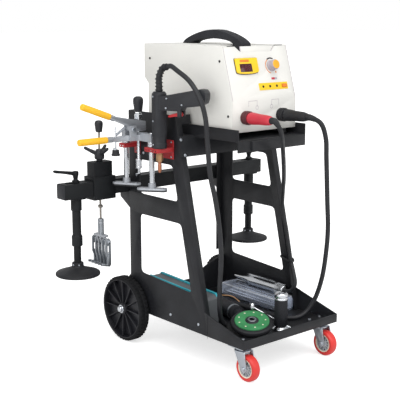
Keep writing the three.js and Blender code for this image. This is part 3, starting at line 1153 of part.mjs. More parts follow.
function clampLever(outward) {
  const z0 = beamTop + FIT.gap;
  const hub = turned([[0, z0 + CLAMP.washer + FIT.gap], [CLAMP.washerRadius, z0 + CLAMP.washer + FIT.gap],
    [CLAMP.washerRadius, z0 + 2 * CLAMP.washer], [CLAMP.waist, z0 + 3 * CLAMP.washer],
    [CLAMP.hubRadius, z0 + CLAMP.hubHeight * CLAMP.headShare],
    [CLAMP.hubRadius, z0 + CLAMP.hubHeight * CLAMP.neckShare],
    [CLAMP.waist, z0 + CLAMP.hubHeight], [0, z0 + CLAMP.hubHeight]], ROUND.coarse);
  const root = z0 + CLAMP.hubHeight * CLAMP.rootShare;
  const arm = strut([0, 0, root], [CLAMP.arm, 0, root + CLAMP.armRise], CLAMP.armRoot, CLAMP.armTip,
    ROUND.cord);
  return join(hub, arm).rotateZ(outward);
}

function legWasher() {
  const z0 = beamTop + FIT.gap;
  return bar('z', CLAMP.washerRadius, z0, z0 + CLAMP.washer, 0, 0);
}

[['near', LEG.nearX, Math.PI], ['far', LEG.farX, radians(CLAMP.farTurn)]].forEach(([side, x, outward]) => {
  const leg = new THREE.Group();
  leg.position.set(x, beamY, 0);
  machine.add(leg);
  part(`leg_sleeve_${side}`, join(legSleeve(), legWasher()), FINISH.blackPaint, leg);
  part(`leg_foot_${side}`, legTube(), FINISH.rubber, leg);
  part(`clamp_lever_${side}`, clampLever(outward), FINISH.blackPaint, leg);
});

// Accessories in the base tray

const onFloor = trayFloor + FIT.gap;

part('tray_bottle', turned([[0, 0], [BOTTLE.flangeRadius, 0], [BOTTLE.flangeRadius, BOTTLE.flange],
  [BOTTLE.neck, BOTTLE.skirt], [BOTTLE.radius, BOTTLE.skirt], [BOTTLE.radius, BOTTLE.bodyTop],
  [BOTTLE.headRadius, BOTTLE.bodyTop], [BOTTLE.headRadius, BOTTLE.height - BOTTLE.round],
  [BOTTLE.headRadius - BOTTLE.round, BOTTLE.height], [0, BOTTLE.height]], ROUND.coarse)
  .translate(BOTTLE.x, BOTTLE.y, onFloor), FINISH.blackPlastic);

// The disc's own frame: its axis is local z, tipped towards the viewer, its underside at the origin.
const discTurn = new THREE.Matrix4().makeRotationZ(-radians(DISC.lean))
  .multiply(new THREE.Matrix4().makeRotationX(radians(DISC.tilt)));
const discLift = DISC.padRadius * Math.sin(radians(DISC.tilt));
const discPlace = discTurn.clone().setPosition(DISC.x, DISC.y, onFloor + discLift);

part('tray_disc', ring([[DISC.bore, 0], [DISC.padRadius - DISC.padRound, 0], [DISC.padRadius, DISC.padRound],
  [DISC.padRadius, DISC.padThick - DISC.padRound], [DISC.padRadius - DISC.padRound, DISC.padThick],
  [DISC.radius, DISC.padThick], [DISC.radius, DISC.padThick + DISC.thick / 2],
  [DISC.radius - DISC.thick / 2, DISC.padThick + DISC.thick], [DISC.bore, DISC.padThick + DISC.thick]],
ROUND.medium).applyMatrix4(discPlace), FINISH.green);

// Lies on its side: a round body, a slim neck and the gearbox that carries the disc.
function polisher() {
  const level = onFloor + POLISHER.radius;
  const spindleRadius = DISC.bore - FIT.running;
  const spindle = bar('z', spindleRadius, -POLISHER.headHeight / 2, DISC.padThick, 0, 0, ROUND.small)
    .applyMatrix4(discPlace);
  const gearbox = bar('z', POLISHER.headRadius, -FIT.running - POLISHER.headHeight, -FIT.running, 0, 0)
    .applyMatrix4(discPlace);
  const head = new THREE.Vector3(0, 0, -FIT.running - POLISHER.headHeight / 2).applyMatrix4(discPlace);
  const rear = [POLISHER.rearX, POLISHER.rearY, level];
  const front = [POLISHER.frontX, POLISHER.frontY, level];
  const neck = [POLISHER.neckX, POLISHER.neckY, onFloor + POLISHER.neckRadius + POLISHER.round];
  const gearNeck = POLISHER.neckRadius - POLISHER.round / 2;
  return join(strut(rear, front, POLISHER.radius, POLISHER.radius, ROUND.coarse),
    strut(front, neck, POLISHER.radius - POLISHER.round, POLISHER.neckRadius),
    strut(neck, head.toArray(), POLISHER.neckRadius, gearNeck), gearbox, spindle);
}

part('tray_polisher', polisher(), FINISH.blackPlastic);

function toolBox() {
  const side = outline([
    [TOOL_BOX.rearY, onFloor], [TOOL_BOX.rearY, TOOL_BOX.rearTop - TOOL_BOX.crown],
    [TOOL_BOX.rearY - TOOL_BOX.crown, TOOL_BOX.rearTop],
    [TOOL_BOX.frontY + TOOL_BOX.crown, TOOL_BOX.frontTop],
    [TOOL_BOX.frontY, TOOL_BOX.frontTop - TOOL_BOX.crown], [TOOL_BOX.frontY, onFloor]]);
  return acrossX(side, -TOOL_BOX.width / 2, TOOL_BOX.width / 2).rotateZ(radians(TOOL_BOX.turn))
    .translate(TOOL_BOX.x, 0, 0);
}

part('tray_tool_box', toolBox(), FINISH.teal);

function tubeCase() {
  const [w, l] = [TUBES.width / 2, TUBES.length / 2];
  const [low, high] = [onFloor, onFloor + TUBES.height];
  return acrossY(softOutline([[-w, low], [w, low], [w, high], [-w, high]], TUBES.corner), -l, l)
    .translate(TUBES.x, TUBES.y, 0);
}

part('tray_tube_case', tubeCase(), FINISH.cast);

const clampAxis = onFloor + TUBES.height + FIT.gap + EARTH_CLAMP.tailRadius;

// Lies on the tube case, its slim nose to the rear and its cable end to the front.
function earthClamp() {
  const c = EARTH_CLAMP;
  const length = c.noseY - c.tailY;
  const bodyEnd = length - c.tipLength - c.neckLength;
  return turned([[0, 0], [c.tailRadius, 0], [c.tailRadius, c.neckLength], [c.bodyRadius, c.neckLength * 2],
    [c.bodyRadius, bodyEnd], [c.neckRadius, bodyEnd + c.neckLength], [c.tipRadius, length], [0, length]],
  ROUND.coarse).rotateX(-Math.PI / 2).translate(c.x, c.tailY, clampAxis);
}

part('earth_clamp', earthClamp(), FINISH.chrome);

// Cables, and the strap that ties them to the right leg

const plugTail = plugY - PLUG.length - FIT.gap;
const lying = trayFloor + CORD.gunRadius + FIT.gap + FIT.running;

const gunRoute = routeOf([
  [SOCKET.blackX, plugTail, SOCKET.z], [SOCKET.blackX, plugTail - CORD.straight, SOCKET.z],
  [84, -516, 694], [110, -514, 652],
  [127, -504, 587], [142, -498, 468], [157, -490, 380], [165, -478, 305], [168, -462, 225], [160, -444, 160],
  [138, -432, 122], [104, -424, lying], [72, -396, lying], [62, -340, lying], [60, -250, lying],
  [50, -175, lying], [10, -148, lying], [-42, -160, lying], [-78, -210, lying], [-84, -270, lying],
  [-92, -322, lying], [-118, -352, 114], [-142, -362, 150], [-154, -372, 229], [-160, -384, 321],
  [-170, -388, 408], [-182, -384, 493],
  [-190, -372, 560], [-195, -366, 650], [-199, -362, 715], [-204, -347, 762], [-212, -314, 808],
  [-220, -270, 836], bootEnd.clone().addScaledVector(bootLeaving, CORD.straight).toArray(),
  bootEnd.clone().addScaledVector(bootLeaving, FIT.gap).toArray(),
]);

const legCordY = (z) => legY(z) - CORD.earthRadius - TIE.room;

const earthRoute = routeOf([
  [SOCKET.redX, plugTail, SOCKET.z], [SOCKET.redX, plugTail - CORD.straight, SOCKET.z],
  [-66, -508, 690], [-40, -492, 664], [-10, -466, 636], [24, -436, 600], [68, -396, 556], [118, -348, 508],
  [154, -310, 462], [168, legCordY(410), 410], [TIE.cordX, legCordY(350), 350],
  [TIE.cordX, legCordY(300), 300], [TIE.cordX, legCordY(TIE.z), TIE.z],
  [168, -348, 215], [161, -361, 186], [156, -353, 166],
  [EARTH_CLAMP.x, EARTH_CLAMP.tailY - CORD.straight, clampAxis],
  [EARTH_CLAMP.x, EARTH_CLAMP.tailY - FIT.gap, clampAxis],
]);

part('gun_cable', cordAlong(gunRoute, CORD.gunRadius, CORD.gunSteps), FINISH.rubber);
part('earth_cable', cordAlong(earthRoute, CORD.earthRadius, CORD.earthSteps), FINISH.rubber);

const millimetres = (route) => `${route.getLength().toFixed(0)} mm`;
console.log(`gun_cable ${millimetres(gunRoute)}, earth_cable ${millimetres(earthRoute)}`);

// A convex outline pushed out by a distance on every side
function grown(points, distance) {
  const corners = ordered(points);
  const n = corners.length;
  const normal = (i) => {
    const d = corners[(i + 1) % n].clone().sub(corners[i % n]).normalize();
    return new THREE.Vector2(d.y, -d.x);
  };
  return corners.map((corner, i) => {
    const [a, b] = [normal(i + n - 1), normal(i)];
    const push = a.add(b).normalize();
    return corner.clone().addScaledVector(push, distance / push.dot(b)).toArray();
  });
}

// A strap drawn tight round the leg and the cable in front of it
function cableTie() {
  const [z0, z1] = [TIE.z - TIE.width / 2, TIE.z + TIE.width / 2];
  const back = legY(z1) + PANEL.legWidth;
  const front = legY(z0);
  const flangeEdge = PANEL.outer - PANEL.frontFlange;
  const r = CORD.earthRadius + 2 * FIT.running;
  const cordY = legCordY(z0);
  const held = [[PANEL.outer, back], [panelInner, back], [flangeEdge, legY(z1) + PANEL.sheet],
    [TIE.cordX - r, cordY + r / 2], [TIE.cordX - r, cordY - r / 2], [TIE.cordX - r / 2, cordY - r],
    [TIE.cordX + r / 2, cordY - r], [PANEL.outer, front]];
  const band = outline(grown(held, TIE.clear + TIE.thick));
  band.holes.push(new THREE.Path(ordered(grown(held, TIE.clear))));
  return acrossZ(band, z0, z1);
}

part('cable_tie', cableTie(), FINISH.blackPlastic);

// The origin goes to the middle of the footprint, on the floor. Cables and what is on them don't count.

const onCords = ['gun_cable', 'earth_cable', 'plug_red', 'plug_black', 'gun_boot'];
machine.updateMatrixWorld(true);
const bounds = new THREE.Box3();
machine.traverse((object) => {
  if (object.isMesh && !onCords.includes(object.name)) bounds.expandByObject(object);
});
const middle = bounds.getCenter(new THREE.Vector3());
machine.position.set(-middle.x, -middle.y, -bounds.min.z);

const dentPuller = new THREE.Group();
dentPuller.add(machine);
console.log(`shift to the final origin: ${machine.position.toArray().map((v) => v.toFixed(2)).join(', ')}`);

export default dentPuller;
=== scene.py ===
"""Fine shapes and finishes of a dent pulling spot welder on its trolley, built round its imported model.

Shapes are drawn in millimetres with x to the right, -y to the front and z up. Zero is on the floor,
straight under the middle of the rear axle. A finished piece is turned into metres in the row's frame.
"""

import logging
import math
from collections.abc import Callable, Iterable, Sequence
from dataclasses import dataclass
from enum import Enum
from typing import Any

import bmesh
import bpy
from mathutils import Matrix, Vector


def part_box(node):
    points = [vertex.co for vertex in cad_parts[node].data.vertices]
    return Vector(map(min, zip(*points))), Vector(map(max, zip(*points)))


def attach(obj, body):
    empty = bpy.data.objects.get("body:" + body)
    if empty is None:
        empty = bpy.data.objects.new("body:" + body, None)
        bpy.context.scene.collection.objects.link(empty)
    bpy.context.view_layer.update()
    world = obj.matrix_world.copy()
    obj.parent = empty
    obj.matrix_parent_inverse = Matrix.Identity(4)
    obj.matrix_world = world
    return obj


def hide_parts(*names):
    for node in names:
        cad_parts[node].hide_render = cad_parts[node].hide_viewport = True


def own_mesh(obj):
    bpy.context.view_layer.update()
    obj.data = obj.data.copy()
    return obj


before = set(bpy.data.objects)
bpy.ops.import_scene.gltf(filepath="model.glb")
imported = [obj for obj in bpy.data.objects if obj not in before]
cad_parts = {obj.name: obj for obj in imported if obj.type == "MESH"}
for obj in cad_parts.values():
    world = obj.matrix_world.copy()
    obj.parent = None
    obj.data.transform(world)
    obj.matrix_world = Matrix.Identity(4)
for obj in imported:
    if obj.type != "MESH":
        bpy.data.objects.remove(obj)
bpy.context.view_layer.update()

LOG = logging.getLogger("dent_puller")

MM = 0.001
METRE = 1000.0
AXLE_HEIGHT = 100.0
CASE_FRONT = 385.0
CASE_KNEE = 754.0
CASE_SLOPE = math.radians(-16.30)
GUN_TURN = math.radians(25.0)
BEAM_Y = 25.0
TRAY_FLOOR = 101.3
SOCKET_X = {"black": 62.0, "red": -75.0}
SOCKET_Z = 708.0
SHARP = math.radians(32)

Socket = bpy.types.NodeSocket
Nodes = bpy.types.NodeTree
Solid = bmesh.types.BMesh
Mesh = bpy.types.Mesh
Thing = bpy.types.Object
Flat = tuple[float, float]
Spot = tuple[float, float, float]
Colour = tuple[float, float, float, float]


def row_frame() -> Matrix:
    """Finds where the drawing lies in the row.

    Returns:
        The matrix from the drawing's millimetres to the row's metres.
    """
    low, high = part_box("rear_axle")
    middle = (low + high) / 2
    shift = Vector((middle.x, middle.y, middle.z - AXLE_HEIGHT * MM))
    return Matrix.Translation(shift) @ Matrix.Scale(MM, 4)


ROW = row_frame()


class Side(Enum):
    """A side of the trolley, with the sign of its x."""

    LEFT = -1
    RIGHT = 1

    @property
    def label(self) -> str:
        """Gives the side's name as the nodes spell it."""
        return self.name.lower()


class Axis(Enum):
    """The way that a turned or filled shape's own z axis points."""

    X = "x"
    FRONT = "-y"
    Z = "z"

    @property
    def matrix(self) -> Matrix:
        """Gives the turn from the shape's own frame to the drawing's."""
        rows = {
            Axis.X: ((0, 0, 1, 0), (1, 0, 0, 0), (0, 1, 0, 0), (0, 0, 0, 1)),
            Axis.FRONT: ((1, 0, 0, 0), (0, 0, -1, 0), (0, 1, 0, 0), (0, 0, 0, 1)),
            Axis.Z: ((1, 0, 0, 0), (0, 1, 0, 0), (0, 0, 1, 0), (0, 0, 0, 1)),
        }
        return Matrix(rows[self])

    def at(self, spot: Sequence[float]) -> Matrix:
        """Gives the frame at a point whose z axis points this way."""
        return Matrix.Translation(spot) @ self.matrix


# Node trees


class NodeTree:
    """A node group that is written as a list of calls."""

    def __init__(self, name: str, kind: str, inputs: dict[str, str], outputs: dict[str, str]) -> None:
        """Makes the group and its sockets.

        Args:
            name: the group's name.
            kind: the tree's Blender type.
            inputs: each input's name and socket type.
            outputs: each output's name and socket type.
        """
        self.group = bpy.data.node_groups.new(name, kind)
        face = self.group.interface
        for label, socket in outputs.items():
            face.new_socket(label, in_out="OUTPUT", socket_type=f"NodeSocket{socket}")
        for label, socket in inputs.items():
            face.new_socket(label, in_out="INPUT", socket_type=f"NodeSocket{socket}")
        self.start = self.group.nodes.new("NodeGroupInput")
        self.end = self.group.nodes.new("NodeGroupOutput")

    def given(self, label: str) -> Socket:
        """Gives one of the group's inputs by name."""
        return self.start.outputs[label]

    def put(self, kind: str, feeds: dict[str | int, Any] | None = None, **settings: Any) -> bpy.types.Node:
        """Adds a node to the group."""
        return put_node(self.group, kind, feeds, **settings)

    def give(self, label: str, source: Socket) -> None:
        """Links one of the group's outputs."""
        self.group.links.new(source, self.end.inputs[label])


def put_node(tree: Nodes, kind: str, feeds: dict[str | int, Any] | None = None, **settings: Any) -> bpy.types.Node:
    """Adds a node to any tree.

    Args:
        tree: the tree that gets the node.
        kind: the node's Blender type.
        feeds: for each input, the socket that is linked to it or the value that it holds.
        settings: the node's own properties.

    Returns:
        The new node.
    """
    node = tree.nodes.new(kind)
    for label, value in settings.items():
        setattr(node, label, value)
    for label, value in (feeds or {}).items():
        if isinstance(value, Socket):
            tree.links.new(value, node.inputs[label])
        else:
            node.inputs[label].default_value = value
    return node


def maths(tree: Nodes, operation: str, *values: Any) -> Socket:
    """Adds one sum of numbers and gives its result."""
    return put_node(tree, "ShaderNodeMath", dict(enumerate(values)), operation=operation).outputs[0]


def placed(name: str, data: bpy.types.ID) -> Thing:
    """Puts a mesh, a lamp or a camera into the scene as an object."""
    thing = bpy.data.objects.new(name, data)
    bpy.context.scene.collection.objects.link(thing)
    return thing


@dataclass
class Repeater:
    """A Geometry Nodes tree that repeats a form, and is built the first time it is used."""

    name: str
    inputs: dict[str, str]
    draw: Callable[[NodeTree], Socket]
    group: Nodes | None = None

    def tree(self) -> Nodes:
        """Builds the tree once.

        Returns:
            The finished group, which ends in Realize Instances and Set Material.
        """
        if self.group is None:
            inputs = {"Geometry": "Geometry", **self.inputs, "Finish": "Material"}
            tree = NodeTree(self.name, "GeometryNodeTree", inputs, {"Geometry": "Geometry"})
            real = tree.put("GeometryNodeRealizeInstances", {"Geometry": self.draw(tree)})
            dressed = tree.put(
                "GeometryNodeSetMaterial", {"Geometry": real.outputs["Geometry"], "Material": tree.given("Finish")}
            )
            tree.give("Geometry", dressed.outputs["Geometry"])
            self.group = tree.group
        return self.group

    def run(self, mesh: Mesh, material: bpy.types.Material, **values: Any) -> Mesh:
        """Runs the tree on a mesh.

        Args:
            mesh: the form that is repeated or followed. It is used up.
            material: the finish that the tree sets.
            values: the tree's inputs by name.

        Returns:
            The result as a plain mesh.
        """
        carrier = placed("pattern", mesh)
        modifier = carrier.modifiers.new("pattern", "NODES")
        modifier.node_group = self.tree()
        for item in modifier.node_group.interface.items_tree:
            if item.in_out == "INPUT" and item.name in {**values, "Finish": None}:
                modifier[item.identifier] = material if item.name == "Finish" else values[item.name]
        result = evaluated_mesh(carrier)
        bpy.data.objects.remove(carrier)
        bpy.data.meshes.remove(mesh)
        return result


def evaluated_mesh(thing: Thing) -> Mesh:
    """Gives an object's mesh with its modifiers applied."""
    bpy.context.view_layer.update()
    depsgraph = bpy.context.evaluated_depsgraph_get()
    return bpy.data.meshes.new_from_object(thing.evaluated_get(depsgraph), depsgraph=depsgraph)


def copies(tree: NodeTree, points: Any, form: Any, **feeds: Any) -> Socket:
    """Puts a copy of a form on each point."""
    feeds = {"Points": points, "Instance": form, **feeds}
    return tree.put("GeometryNodeInstanceOnPoints", feeds).outputs["Instances"]


def draw_ring(tree: NodeTree) -> Socket:
    """Lays out copies of a form round the z axis."""
    index = tree.put("GeometryNodeInputIndex").outputs["Index"]
    step = maths(tree.group, "DIVIDE", math.tau, tree.given("Count"))
    angle = maths(tree.group, "MULTIPLY_ADD", index, step, tree.given("Turn"))
    turn = tree.put("FunctionNodeAxisAngleToRotation", {"Axis": (0, 0, 1), "Angle": angle})
    points = tree.put("GeometryNodePoints", {"Count": tree.given("Count")})
    return copies(tree, points.outputs[0], tree.given("Geometry"), Rotation=turn.outputs[0])


def draw_row(tree: NodeTree) -> Socket:
    """Lays out copies of a form along a straight row."""
    line = tree.put("GeometryNodeMeshLine", {"Count": tree.given("Count"), "Offset": tree.given("Step")}, mode="OFFSET")
    return copies(tree, line.outputs[0], tree.given("Geometry"))


def draw_coil(tree: NodeTree) -> Socket:
    """Winds a round wire up the z axis."""
    line = tree.put(
        "GeometryNodeCurveSpiral",
        {
            "Resolution": tree.given("Steps"),
            "Rotations": tree.given("Turns"),
            "Start Radius": tree.given("Radius"),
            "End Radius": tree.given("Radius"),
            "Height": tree.given("Height"),
        },
    )
    wire = tree.put("GeometryNodeCurvePrimitiveCircle", {"Resolution": 6, "Radius": tree.given("Wire")})
    tube = tree.put(
        "GeometryNodeCurveToMesh", {"Curve": line.outputs[0], "Profile Curve": wire.outputs[0], "Fill Caps": True}
    )
    return tube.outputs[0]


def draw_beads(tree: NodeTree) -> Socket:
    """Threads copies of a bead on a path, each a little smaller than the one before."""
    path = tree.put("GeometryNodeMeshToCurve", {"Mesh": tree.given("Geometry")})
    points = tree.put(
        "GeometryNodeCurveToPoints", {"Curve": path.outputs[0], "Count": tree.given("Count")}, mode="COUNT"
    )
    index = tree.put("GeometryNodeInputIndex").outputs["Index"]
    loss = maths(tree.group, "MULTIPLY", maths(tree.group, "DIVIDE", index, tree.given("Count")), tree.given("Taper"))
    size = maths(tree.group, "SUBTRACT", 1.0, loss)
    bead = tree.put("GeometryNodeObjectInfo", {"Object": tree.given("Bead")}).outputs["Geometry"]
    return copies(tree, points.outputs["Points"], bead, Rotation=points.outputs["Rotation"], Scale=size)


def draw_heads(tree: NodeTree) -> Socket:
    """Sets a screw head on each point, facing the way that the point's attribute says."""
    facing = tree.put("GeometryNodeInputNamedAttribute", {"Name": "facing"}, data_type="FLOAT_VECTOR")
    turn = tree.put("FunctionNodeAlignRotationToVector", {"Vector": facing.outputs["Attribute"]}, axis="Z")
    head = tree.put("GeometryNodeObjectInfo", {"Object": tree.given("Head")}).outputs["Geometry"]
    return copies(tree, tree.given("Geometry"), head, Rotation=turn.outputs[0])


RING = Repeater("ring_of_copies", {"Count": "Int", "Turn": "Float"}, draw_ring)
ROWS = Repeater("row_of_copies", {"Count": "Int", "Step": "Vector"}, draw_row)
COIL = Repeater(
    "wound_wire",
    {"Turns": "Float", "Radius": "Float", "Height": "Float", "Wire": "Float", "Steps": "Int"},
    draw_coil,
)
BEADS = Repeater("beads_on_a_path", {"Bead": "Object", "Count": "Int", "Taper": "Float"}, draw_beads)
HEADS = Repeater("screw_heads", {"Head": "Object"}, draw_heads)


# Effects that several finishes share


@dataclass
class Effect:
    """A shader node group that is built the first time a finish asks for it."""

    name: str
    inputs: dict[str, str]
    outputs: dict[str, str]
    draw: Callable[[NodeTree], None]
    group: Nodes | None = None

    def place(self, tree: Nodes, feeds: dict[str, Any]) -> bpy.types.Node:
        """Places the effect in a material.

        Args:
            tree: the material's nodes.
            feeds: the socket or value of each input.

        Returns:
            The group node.
        """
        if self.group is None:
            drawn = NodeTree(self.name, "ShaderNodeTree", self.inputs, self.outputs)
            self.draw(drawn)
            self.group = drawn.group
        return put_node(tree, "ShaderNodeGroup", feeds, node_tree=self.group)


def mixed(tree: Nodes, mask: Any, under: Any, over: Any) -> Socket:
    """Mixes two colours by a mask and gives the result."""
    feeds = {0: mask, 6: under, 7: over}
    return put_node(tree, "ShaderNodeMix", feeds, data_type="RGBA").outputs[2]


def stretched(tree: NodeTree, value: Socket, low: float, high: float) -> Socket:
    """Stretches the part of a value between two bounds to 0 to 1."""
    return tree.put("ShaderNodeMapRange", {0: value, 1: low, 2: high}).outputs[0]


def noise(tree: NodeTree, place: Any, scale: Any, detail: float) -> Socket:
    """Gives soft random values over the surface."""
    return tree.put("ShaderNodeTexNoise", {"Vector": place, "Scale": scale, "Detail": detail}).outputs[0]


def draw_blotches(tree: NodeTree) -> None:
    """Lets a colour drift softly into a second one."""
    mask = stretched(tree, noise(tree, tree.given("Place"), tree.given("Scale"), 4.0), 0.32, 0.68)
    tree.give("Colour", mixed(tree.group, mask, tree.given("Colour"), tree.given("Shade")))
    tree.give("Mask", mask)


def draw_wear(tree: NodeTree) -> None:
    """Finds the edges of a shape, rounds their shading and breaks their wear up."""
    soft = tree.put("ShaderNodeBevel", {"Radius": tree.given("Radius")}, samples=4)
    true = tree.put("ShaderNodeNewGeometry")
    match = tree.put("ShaderNodeVectorMath", {0: soft.outputs[0], 1: true.outputs["Normal"]}, operation="DOT_PRODUCT")
    edge = stretched(tree, maths(tree.group, "SUBTRACT", 1.0, match.outputs["Value"]), 0.01, 0.12)
    broken = stretched(tree, noise(tree, tree.given("Place"), 260.0, 3.0), 0.42, 0.6)
    worn = maths(tree.group, "MULTIPLY", edge, broken)
    tree.give("Mask", maths(tree.group, "MULTIPLY", worn, tree.given("Amount")))
    tree.give("Normal", soft.outputs[0])


def draw_grain(tree: NodeTree) -> None:
    """Gives the small bumps of moulded plastic, powder paint or cast metal."""
    fine = noise(tree, tree.given("Place"), tree.given("Scale"), 3.0)
    pits = tree.put("ShaderNodeTexVoronoi", {"Vector": tree.given("Place"), "Scale": tree.given("Scale")})
    tree.give("Height", maths(tree.group, "ADD", fine, pits.outputs[0]))


def draw_dust(tree: NodeTree) -> None:
    """Finds where dust settles: on what faces up, in loose patches."""
    facing = tree.put("ShaderNodeTexCoord").outputs["Normal"]
    upward = tree.put("ShaderNodeSeparateXYZ", {0: facing}).outputs["Z"]
    patches = stretched(tree, noise(tree, tree.given("Place"), 30.0, 5.0), 0.4, 0.75)
    lying = maths(tree.group, "MULTIPLY", stretched(tree, upward, 0.4, 1.0), patches)
    tree.give("Mask", maths(tree.group, "MULTIPLY", lying, tree.given("Amount")))


def draw_brushing(tree: NodeTree) -> None:
    """Draws fine lines that run one way."""
    along = tree.put("ShaderNodeVectorMath", {0: tree.given("Place"), 1: tree.given("Stretch")}, operation="MULTIPLY")
    tree.give("Mask", noise(tree, along.outputs[0], 1.0, 4.0))


BLOTCHES = Effect(
    "soft_blotches",
    {"Place": "Vector", "Scale": "Float", "Colour": "Color", "Shade": "Color"},
    {"Colour": "Color", "Mask": "Float"},
    draw_blotches,
)
WEAR = Effect(
    "worn_edges",
    {"Place": "Vector", "Radius": "Float", "Amount": "Float"},
    {"Mask": "Float", "Normal": "Vector"},
    draw_wear,
)
GRAIN = Effect("fine_grain", {"Place": "Vector", "Scale": "Float"}, {"Height": "Float"}, draw_grain)
DUST = Effect("settled_dust", {"Place": "Vector", "Amount": "Float"}, {"Mask": "Float"}, draw_dust)
BRUSHING = Effect("brushed_lines", {"Place": "Vector", "Stretch": "Vector"}, {"Mask": "Float"}, draw_brushing)


def shown(code: str) -> Colour:
    """Turns a colour as a screen shows it into the linear one that a shader needs.

    Args:
        code: six hexadecimal digits.

    Returns:
        The linear colour, with full opacity.
    """
    parts = [int(code[k : k + 2], 16) / 255 for k in (0, 2, 4)]
    red, green, blue = (c / 12.92 if c <= 0.04045 else ((c + 0.055) / 1.055) ** 2.4 for c in parts)
    return (red, green, blue, 1.0)


@dataclass(frozen=True)
class Finish:
    """A plain surface: a colour that drifts a little, fine grain, softened and worn edges, some dust."""

    name: str
    slot: str
    colour: str
    shade: str
    roughness: float = 0.5
    spread: float = 0.1
    metallic: float = 0.0
    patch_scale: float = 14.0
    grain_scale: float = 900.0
    grain: float = 0.12
    edge: float = 0.5
    wear: float = 0.0
    wear_colour: str = "8a8c90"
    dust: float = 0.0
    specular: float = 0.5

    def material(self) -> bpy.types.Material:
        """Gives the finish's material, made at the first call."""
        return bpy.data.materials.get(self.name) or self.make()

    def make(self) -> bpy.types.Material:
        """Builds the material.

        Returns:
            The new material.
        """
        material = bpy.data.materials.new(self.name)
        material.use_nodes = True
        tree = material.node_tree
        tree.nodes.clear()
        shader = tree.nodes.new("ShaderNodeBsdfPrincipled")
        end = tree.nodes.new("ShaderNodeOutputMaterial")
        tree.links.new(shader.outputs[0], end.inputs["Surface"])
        self.dress(tree, shader)
        return material

    def dress(self, tree: Nodes, shader: bpy.types.Node) -> None:
        """Fills in the shader.

        Args:
            tree: the material's nodes.
            shader: its Principled BSDF.
        """
        place = tree.nodes.new("ShaderNodeTexCoord").outputs["Object"]
        drift = BLOTCHES.place(
            tree,
            {"Place": place, "Scale": self.patch_scale, "Colour": shown(self.colour), "Shade": shown(self.shade)},
        )
        edge = WEAR.place(tree, {"Place": place, "Radius": self.edge * MM, "Amount": self.wear})
        colour = mixed(tree, edge.outputs["Mask"], drift.outputs["Colour"], shown(self.wear_colour))
        if self.dust:
            settled = DUST.place(tree, {"Place": place, "Amount": self.dust})
            colour = mixed(tree, settled.outputs["Mask"], colour, shown("9a9893"))
        tree.links.new(colour, shader.inputs["Base Color"])
        self.roughen(tree, shader, drift.outputs["Mask"])
        shader.inputs["Metallic"].default_value = self.metallic
        shader.inputs["Specular IOR Level"].default_value = self.specular
        grain = GRAIN.place(tree, {"Place": place, "Scale": self.grain_scale})
        feeds = {"Height": grain.outputs["Height"], "Normal": edge.outputs["Normal"], "Strength": self.grain}
        bump = put_node(tree, "ShaderNodeBump", {**feeds, "Distance": MM})
        tree.links.new(bump.outputs[0], shader.inputs["Normal"])

    def roughen(self, tree: Nodes, shader: bpy.types.Node, mask: Socket) -> None:
        """Lets the gloss vary with the patches of colour."""
        level = maths(tree, "MULTIPLY_ADD", mask, self.spread, self.roughness)
        tree.links.new(level, shader.inputs["Roughness"])


@dataclass(frozen=True)
class BareMetal(Finish):
    """Metal without paint, with lines from brushing or drawing."""

    metallic: float = 1.0
    grain: float = 0.05
    stretch: Spot = (900.0, 900.0, 40.0)

    def roughen(self, tree: Nodes, shader: bpy.types.Node, mask: Socket) -> None:
        """Lets the gloss vary along the brushed lines."""
        place = tree.nodes.new("ShaderNodeTexCoord").outputs["Object"]
        lines = BRUSHING.place(tree, {"Place": place, "Stretch": self.stretch})
        super().roughen(tree, shader, lines.outputs["Mask"])


@dataclass(frozen=True)
class ClearPlastic(Finish):
    """Clear moulded plastic."""

    transmission: float = 0.8

    def dress(self, tree: Nodes, shader: bpy.types.Node) -> None:
        """Fills in the shader and lets light through."""
        super().dress(tree, shader)
        shader.inputs["Transmission Weight"].default_value = self.transmission
        shader.inputs["IOR"].default_value = 1.2


BLACK_PAINT = Finish(
    "powder_black", "black_steel", "202125", "191a1d", 0.38, 0.12,
    dust=0.04, wear=0.12, wear_colour="45474b", specular=0.32,
)
BEAM_PAINT = Finish(
    "beam_black", "black_steel", "14171a", "0f1114", 0.42, 0.14,
    grain=0.3, wear=0.15, wear_colour="3c3e42", specular=0.28,
)
# Dark steel of the screws; also the painted shade in the roof gaps and cooling slots of the case.
DARK_STEEL_AND_SHADE = Finish("dark_screw", "black_steel", "25262a", "1b1c1f", 0.4, metallic=0.5)
TYRE = Finish("tyre_rubber", "tyre", "111215", "0d0e10", 0.7, 0.15, grain=0.35, dust=0.03, specular=0.28)
RUBBER = Finish("soft_rubber", "rubber", "212226", "1a1b1e", 0.5, 0.15, grain=0.2, specular=0.4)
CABLE = Finish("cable_jacket", "rubber", "222327", "1c1d20", 0.42, 0.12, patch_scale=40.0, specular=0.4)
FOOT_RUBBER = Finish("foot_rubber", "rubber", "1e2024", "18191c", 0.48, 0.15, grain=0.15, dust=0.03, specular=0.32)
WHEEL_PLASTIC = Finish("wheel_plastic", "black_plastic", "202126", "19191e", 0.36, grain=0.1, specular=0.4)
PLASTIC = Finish("moulded_black", "black_plastic", "222429", "1c1d22", 0.4, 0.12, grain=0.2, specular=0.4)
HANDLE = Finish("handle_black", "black_plastic", "22242a", "1b1c21", 0.5, 0.12, grain=0.35, specular=0.35)
WHITE = Finish("case_white", "white_paint", "e6e5e0", "e0dfda", 0.38, 0.08, patch_scale=5.0, dust=0.04)
ZINC = BareMetal("bright_zinc", "zinc", "c6cbd2", "aeb4bc", 0.24, 0.2)
CHROME = BareMetal("chrome_plate", "chrome", "e2e5e9", "d2d5da", 0.1, 0.14)
CAST = BareMetal("satin_alloy", "cast", "b4b8be", "9ea2a8", 0.34, 0.2, metallic=0.55, grain=0.15)
HOOK_STEEL = BareMetal("hook_steel", "chrome", "b3b8bd", "989da3", 0.28, 0.22, grain=0.12)
